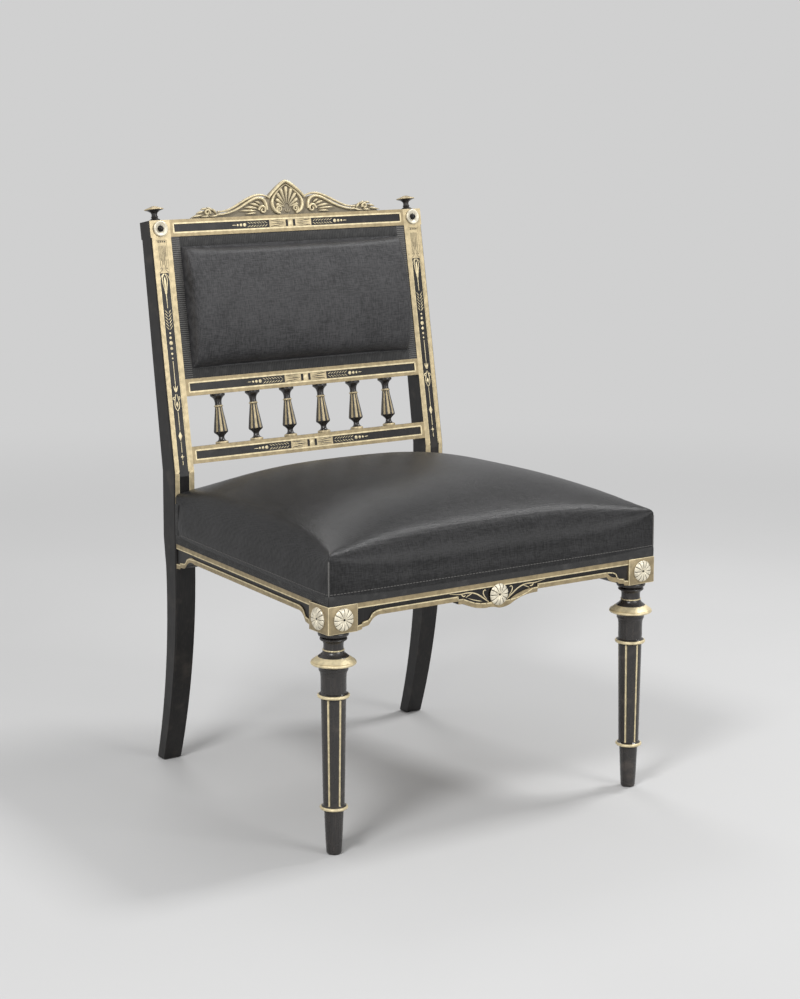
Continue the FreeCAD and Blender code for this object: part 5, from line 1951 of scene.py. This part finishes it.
@dataclass
class BackUpholstery:
    """The stuffed back on its slip frame, its gimp, burlap and outside cloth."""

    half: float = 206.7
    low: float = 135.4
    high: float = 342.7
    border: float = 15.0
    front: float = 1.4
    thick: float = 2.8
    rise: float = 30.5
    soft: float = 16.0
    top_pull: float = 4.5
    foot_pull: float = 2.0
    dome: Point = (0.05, 0.50)
    fold: float = 0.45
    corner_dip: float = 2.4
    overhang: float = 4.5
    rib: float = 3.0
    gap: float = 0.9

    def swell(self, across: float, up: float) -> float:
        """How far the pad stands off its border.

        Args:
            across: Place across.
            up: Place up the rake.

        Returns:
            The rise in millimetres.
        """
        middle = (self.low + self.high) / 2
        tall = (self.high - self.low) / 2 - self.border
        wide = self.half - self.border
        over, out = (up - middle) / tall, across / wide
        pull, reach = (self.top_pull, 0.55) if up > middle else (self.foot_pull, 1.1)
        edge_up = tall - pull * (1 - out ** 4) - abs(up - middle)
        edge_across = wide - (1 - over ** 4) - abs(across)

        def shoulder(edge: float, reach: float) -> float:
            """The rounded shoulder of the stuffing, over a reach from its edge."""
            share = max(0.0, min(1.0, edge / reach))
            return math.sqrt(1 - (1 - share) ** 2)

        dome = 1 - self.dome[0] * out ** 2 - self.dome[1] * over ** 2
        near = math.exp(-max(edge_up, 0) / 14)
        folds = self.fold * near * math.sin(across * 0.17 + 0.9 * math.sin(across * 0.037))
        folds -= self.corner_dip * math.exp(-math.hypot(max(edge_up, 0), max(edge_across, 0)) / 16)
        return max(0.0, (self.rise * dome + folds) * shoulder(edge_up, self.soft * reach)
                   * shoulder(edge_across, self.soft * 0.55))

    def body(self) -> Mesh:
        """The pad with its flat tacked border."""
        wide = self.half - self.border
        fine = [0, 0.4, 1.4, 3.0, 5.2, 8.0, 11.5, 16, 22]
        columns = [-self.half] + stepped(-wide, wide, fine, 70) + [self.half]
        foot, top = self.low + self.border, self.high - self.border
        rows = [self.low] + stepped(foot, top, fine, 22) + [self.high]

        def face(across: float, up: float) -> Vector:
            """The cover's outside, which hangs over its border a little."""
            stand = self.swell(across, up)
            near = math.exp((abs(across) - self.half + self.border) / 9) if stand else 0.0
            out = math.copysign(self.overhang * near * min(1.0, stand / self.rise), across)
            return Vector((across + out, self.front - stand, up))

        def back(across: float, up: float) -> Vector:
            """The flat back."""
            return Vector((across, self.front + self.thick, up))

        bm = quilted(columns, rows, face, back)
        bm.transform(raked_frame())
        return bm

    def braid(self, low: Point, high: Point, ribs_up: bool) -> Mesh:
        """One ribbed strip of the gimp frame.

        Args:
            low: Its lower left corner.
            high: Its upper right corner.
            ribs_up: True where the strip runs up and its ribs lie across it.

        Returns:
            The strip.
        """
        (left, foot), (right, top) = low, high
        long = top - foot if ribs_up else right - left
        fine = spaced(0, long, int(long / self.rib * 5))
        wide = (right - left) if ribs_up else (top - foot)
        rim = stepped(0, wide, (0, 0.7, 1.8), 2)
        columns = [left + step for step in (rim if ribs_up else fine)]
        rows = [foot + step for step in (fine if ribs_up else rim)]

        def face(across: float, up: float) -> Vector:
            """The ribbed outside."""
            run, over = (up - foot, across - left) if ribs_up else (across - left, up - foot)
            rib = 0.5 + 0.5 * math.cos(2 * math.pi * run / self.rib)
            edge = min(1.0, min(over, wide - over) / 1.8)
            return Vector((across, self.front - 0.35 - 0.45 * rib - 0.35 * edge, up))

        def back(across: float, up: float) -> Vector:
            """The flat back."""
            return Vector((across, self.front - 0.05, up))

        # Painted highlight: on the upright strips the crowns of the ribs take the pale thread finish.
        def crown(across: float, up: float) -> bool:
            """Whether a cell lies on the crown of a rib, which is painted pale as a highlight."""
            return ribs_up and math.cos(2 * math.pi * (up - foot) / self.rib) > 0.1

        return quilted(columns, rows, face, back, pale=crown)

    def build(self, finishes: Finishes) -> None:
        """Make everything of the back."""
        cushion = finished("back_cushion_stuffed", self.body(), [finishes.back_cloth], Slot.HAIR,
                           ["back_cushion"], 48)
        wide = self.border - self.gap
        inner = self.half - wide
        bm = joined([self.braid((-self.half, self.low), (-inner, self.high), True),
                     self.braid((inner, self.low), (self.half, self.high), True),
                     self.braid((-inner, self.high - wide), (inner, self.high), False),
                     self.braid((-inner, self.low), (inner, self.low + wide), False)])
        bm.transform(raked_frame())
        finished("back_gimp_braid", bm, [finishes.gimp, finishes.thread], Slot.GIMP, ["back_gimp"])
        size = (2 * self.half * MM, (self.high - self.low) * MM)
        burlap = self.cloth("back_burlap_cloth", 4.25, 0.6, finishes.linen, Slot.LINEN, "back_burlap")
        outside = self.cloth("outside_back_cover", 20.1, 0.8, finishes.back_cloth, Slot.HAIR,
                             "outside_back_cloth")

    def cloth(self, name: str, inward: float, thick: float, look: Material, slot: Slot,
              node: str) -> bpy.types.Object:
        """A taut cloth over the slip frame.

        Args:
            name: The piece's name.
            inward: The depth of its front.
            thick: Its thickness.
            look: Its material.
            slot: The record's slot.
            node: The CAD node that it stands for.

        Returns:
            The cloth.
        """
        middle = (self.low + self.high) / 2

        def spot(depth: float) -> Surface:
            """A surface with a slight hollow between the bars."""
            def place(across: float, up: float) -> Vector:
                """The point for a place across and up."""
                over = max(0.0, 1 - (across / self.half) ** 2) * max(
                    0.0, 1 - ((up - middle) / (middle - self.low)) ** 2)
                return Vector((across, depth + 0.25 * over, up))
            return place

        bm = quilted(spaced(-self.half, self.half, 40), spaced(self.low, self.high, 24),
                     spot(inward), spot(inward + thick))
        bm.transform(raked_frame())
        return finished(name, bm, [look], slot, [node])


@dataclass
class HiddenFrame:
    """The bare wood inside the seat and the back, kept from the frame."""

    def build(self) -> None:
        """Dress the braces, the slip frame and the dowels."""
        across = RawWoodLook((0.05, 1, 1), "rails").material()
        upright = RawWoodLook((1, 1, 0.05), "stiles").material()
        for side, _ in SIDES:
            dress_node("front_corner_brace_" + side, across)
            dress_node("rear_corner_brace_" + side, across)
            dress_node("slip_frame_stile_" + side, upright)
        dress_node("slip_frame_bottom", across)
        dress_node("slip_frame_top", across)
        dress_node("crest_dowels", upright)


@dataclass(frozen=True)
class Lamp:
    """A soft square lamp aimed at the chair, in metres and watts."""

    name: str
    place: Triple
    size: float
    power: float

    def hang(self) -> None:
        """Put the lamp in the scene."""
        data = bpy.data.lights.new(self.name, "AREA")
        data.size = self.size
        data.energy = self.power
        holder = bpy.data.objects.new(self.name, data)
        holder.location = self.place
        aim = Vector((0, 0, 0.4)) - Vector(self.place)
        holder.rotation_euler = aim.to_track_quat("-Z", "Y").to_euler()
        bpy.context.scene.collection.objects.link(holder)


@dataclass
class Studio:
    """The pale floor, the soft lamps and the camera at the photograph's angle."""

    camera_place: Triple = (-1.881029, -2.713120, 1.039510)
    azimuth: float = 34.626
    pitch: float = 8.285
    lens: float = 84.144
    sensor: float = 36.0
    shift: Tuple[float, float] = (0.02, -0.105)
    floor_radius: float = 30.0
    sky_light: float = 0.725
    lamps: Tuple[Lamp, ...] = (
        Lamp("key", (-2.3, -1.5, 3.1), 0.8, 66),
        Lamp("back", (0.75, 2.1, 3.0), 1.0, 18),
        Lamp("shoulder", (1.72, -0.2, 2.9), 0.6, 43),
        Lamp("fill", (1.3, -3.8, 1.8), 1.8, 56),
        Lamp("streak", (-3.0, -2.7, 0.75), 0.7, 9))

    def camera(self) -> None:
        """Place the camera."""
        data = bpy.data.cameras.new("camera")
        data.lens = self.lens
        data.sensor_width = self.sensor
        data.shift_x, data.shift_y = self.shift
        data.clip_end = 100
        holder = bpy.data.objects.new("camera", data)
        holder.location = self.camera_place
        holder.rotation_euler = (math.radians(90 - self.pitch), 0, math.radians(-self.azimuth))
        bpy.context.scene.collection.objects.link(holder)
        bpy.context.scene.camera = holder

    def floor(self) -> None:
        """Lay the floor."""
        bm = bmesh.new()
        bmesh.ops.create_circle(bm, cap_ends=True, segments=64, radius=self.floor_radius)
        mesh = bpy.data.meshes.new("floor")
        bm.to_mesh(mesh)
        bm.free()
        mesh.materials.append(FloorLook().material())
        ground = bpy.data.objects.new("floor", mesh)
        bpy.context.scene.collection.objects.link(ground)

    def sky(self) -> None:
        """An even grey sky: the full backdrop to the camera, a little dimmer as a light."""
        world = bpy.data.worlds.new("studio")
        board = Board(world)
        camera, glossy, passed = (board.node("ShaderNodeLightPath", output=ray) for ray in (
            "Is Camera Ray", "Is Glossy Ray", "Is Transmission Ray"))
        power = board.node("ShaderNodeMapRange", values={
            "Value": camera.most(glossy).most(passed), "To Min": self.sky_light})
        board.node("ShaderNodeOutputWorld", values={0: board.node("ShaderNodeBackground", values={
            "Color": (*(BACKDROP,) * 3, 1.0), "Strength": power})})
        bpy.context.scene.world = world

    def build(self) -> None:
        """Set the studio up."""
        self.camera()
        self.floor()
        self.sky()
        for lamp in self.lamps:
            lamp.hang()
        bpy.context.scene.view_settings.view_transform = "Standard"


def main() -> None:
    """Build the studio and every sub-assembly."""
    logging.basicConfig(level=logging.INFO, format="%(message)s")
    Studio().build()
    finishes = Finishes()
    for part in (FrontLegs(), RearPosts(), BackRails(), SeatRails(), Spindles(), Finials(), Rosettes(),
                 Crest(), SeatUpholstery(), BackUpholstery()):
        part.build(finishes)
    HiddenFrame().build()


if __name__ == "__main__":
    main()
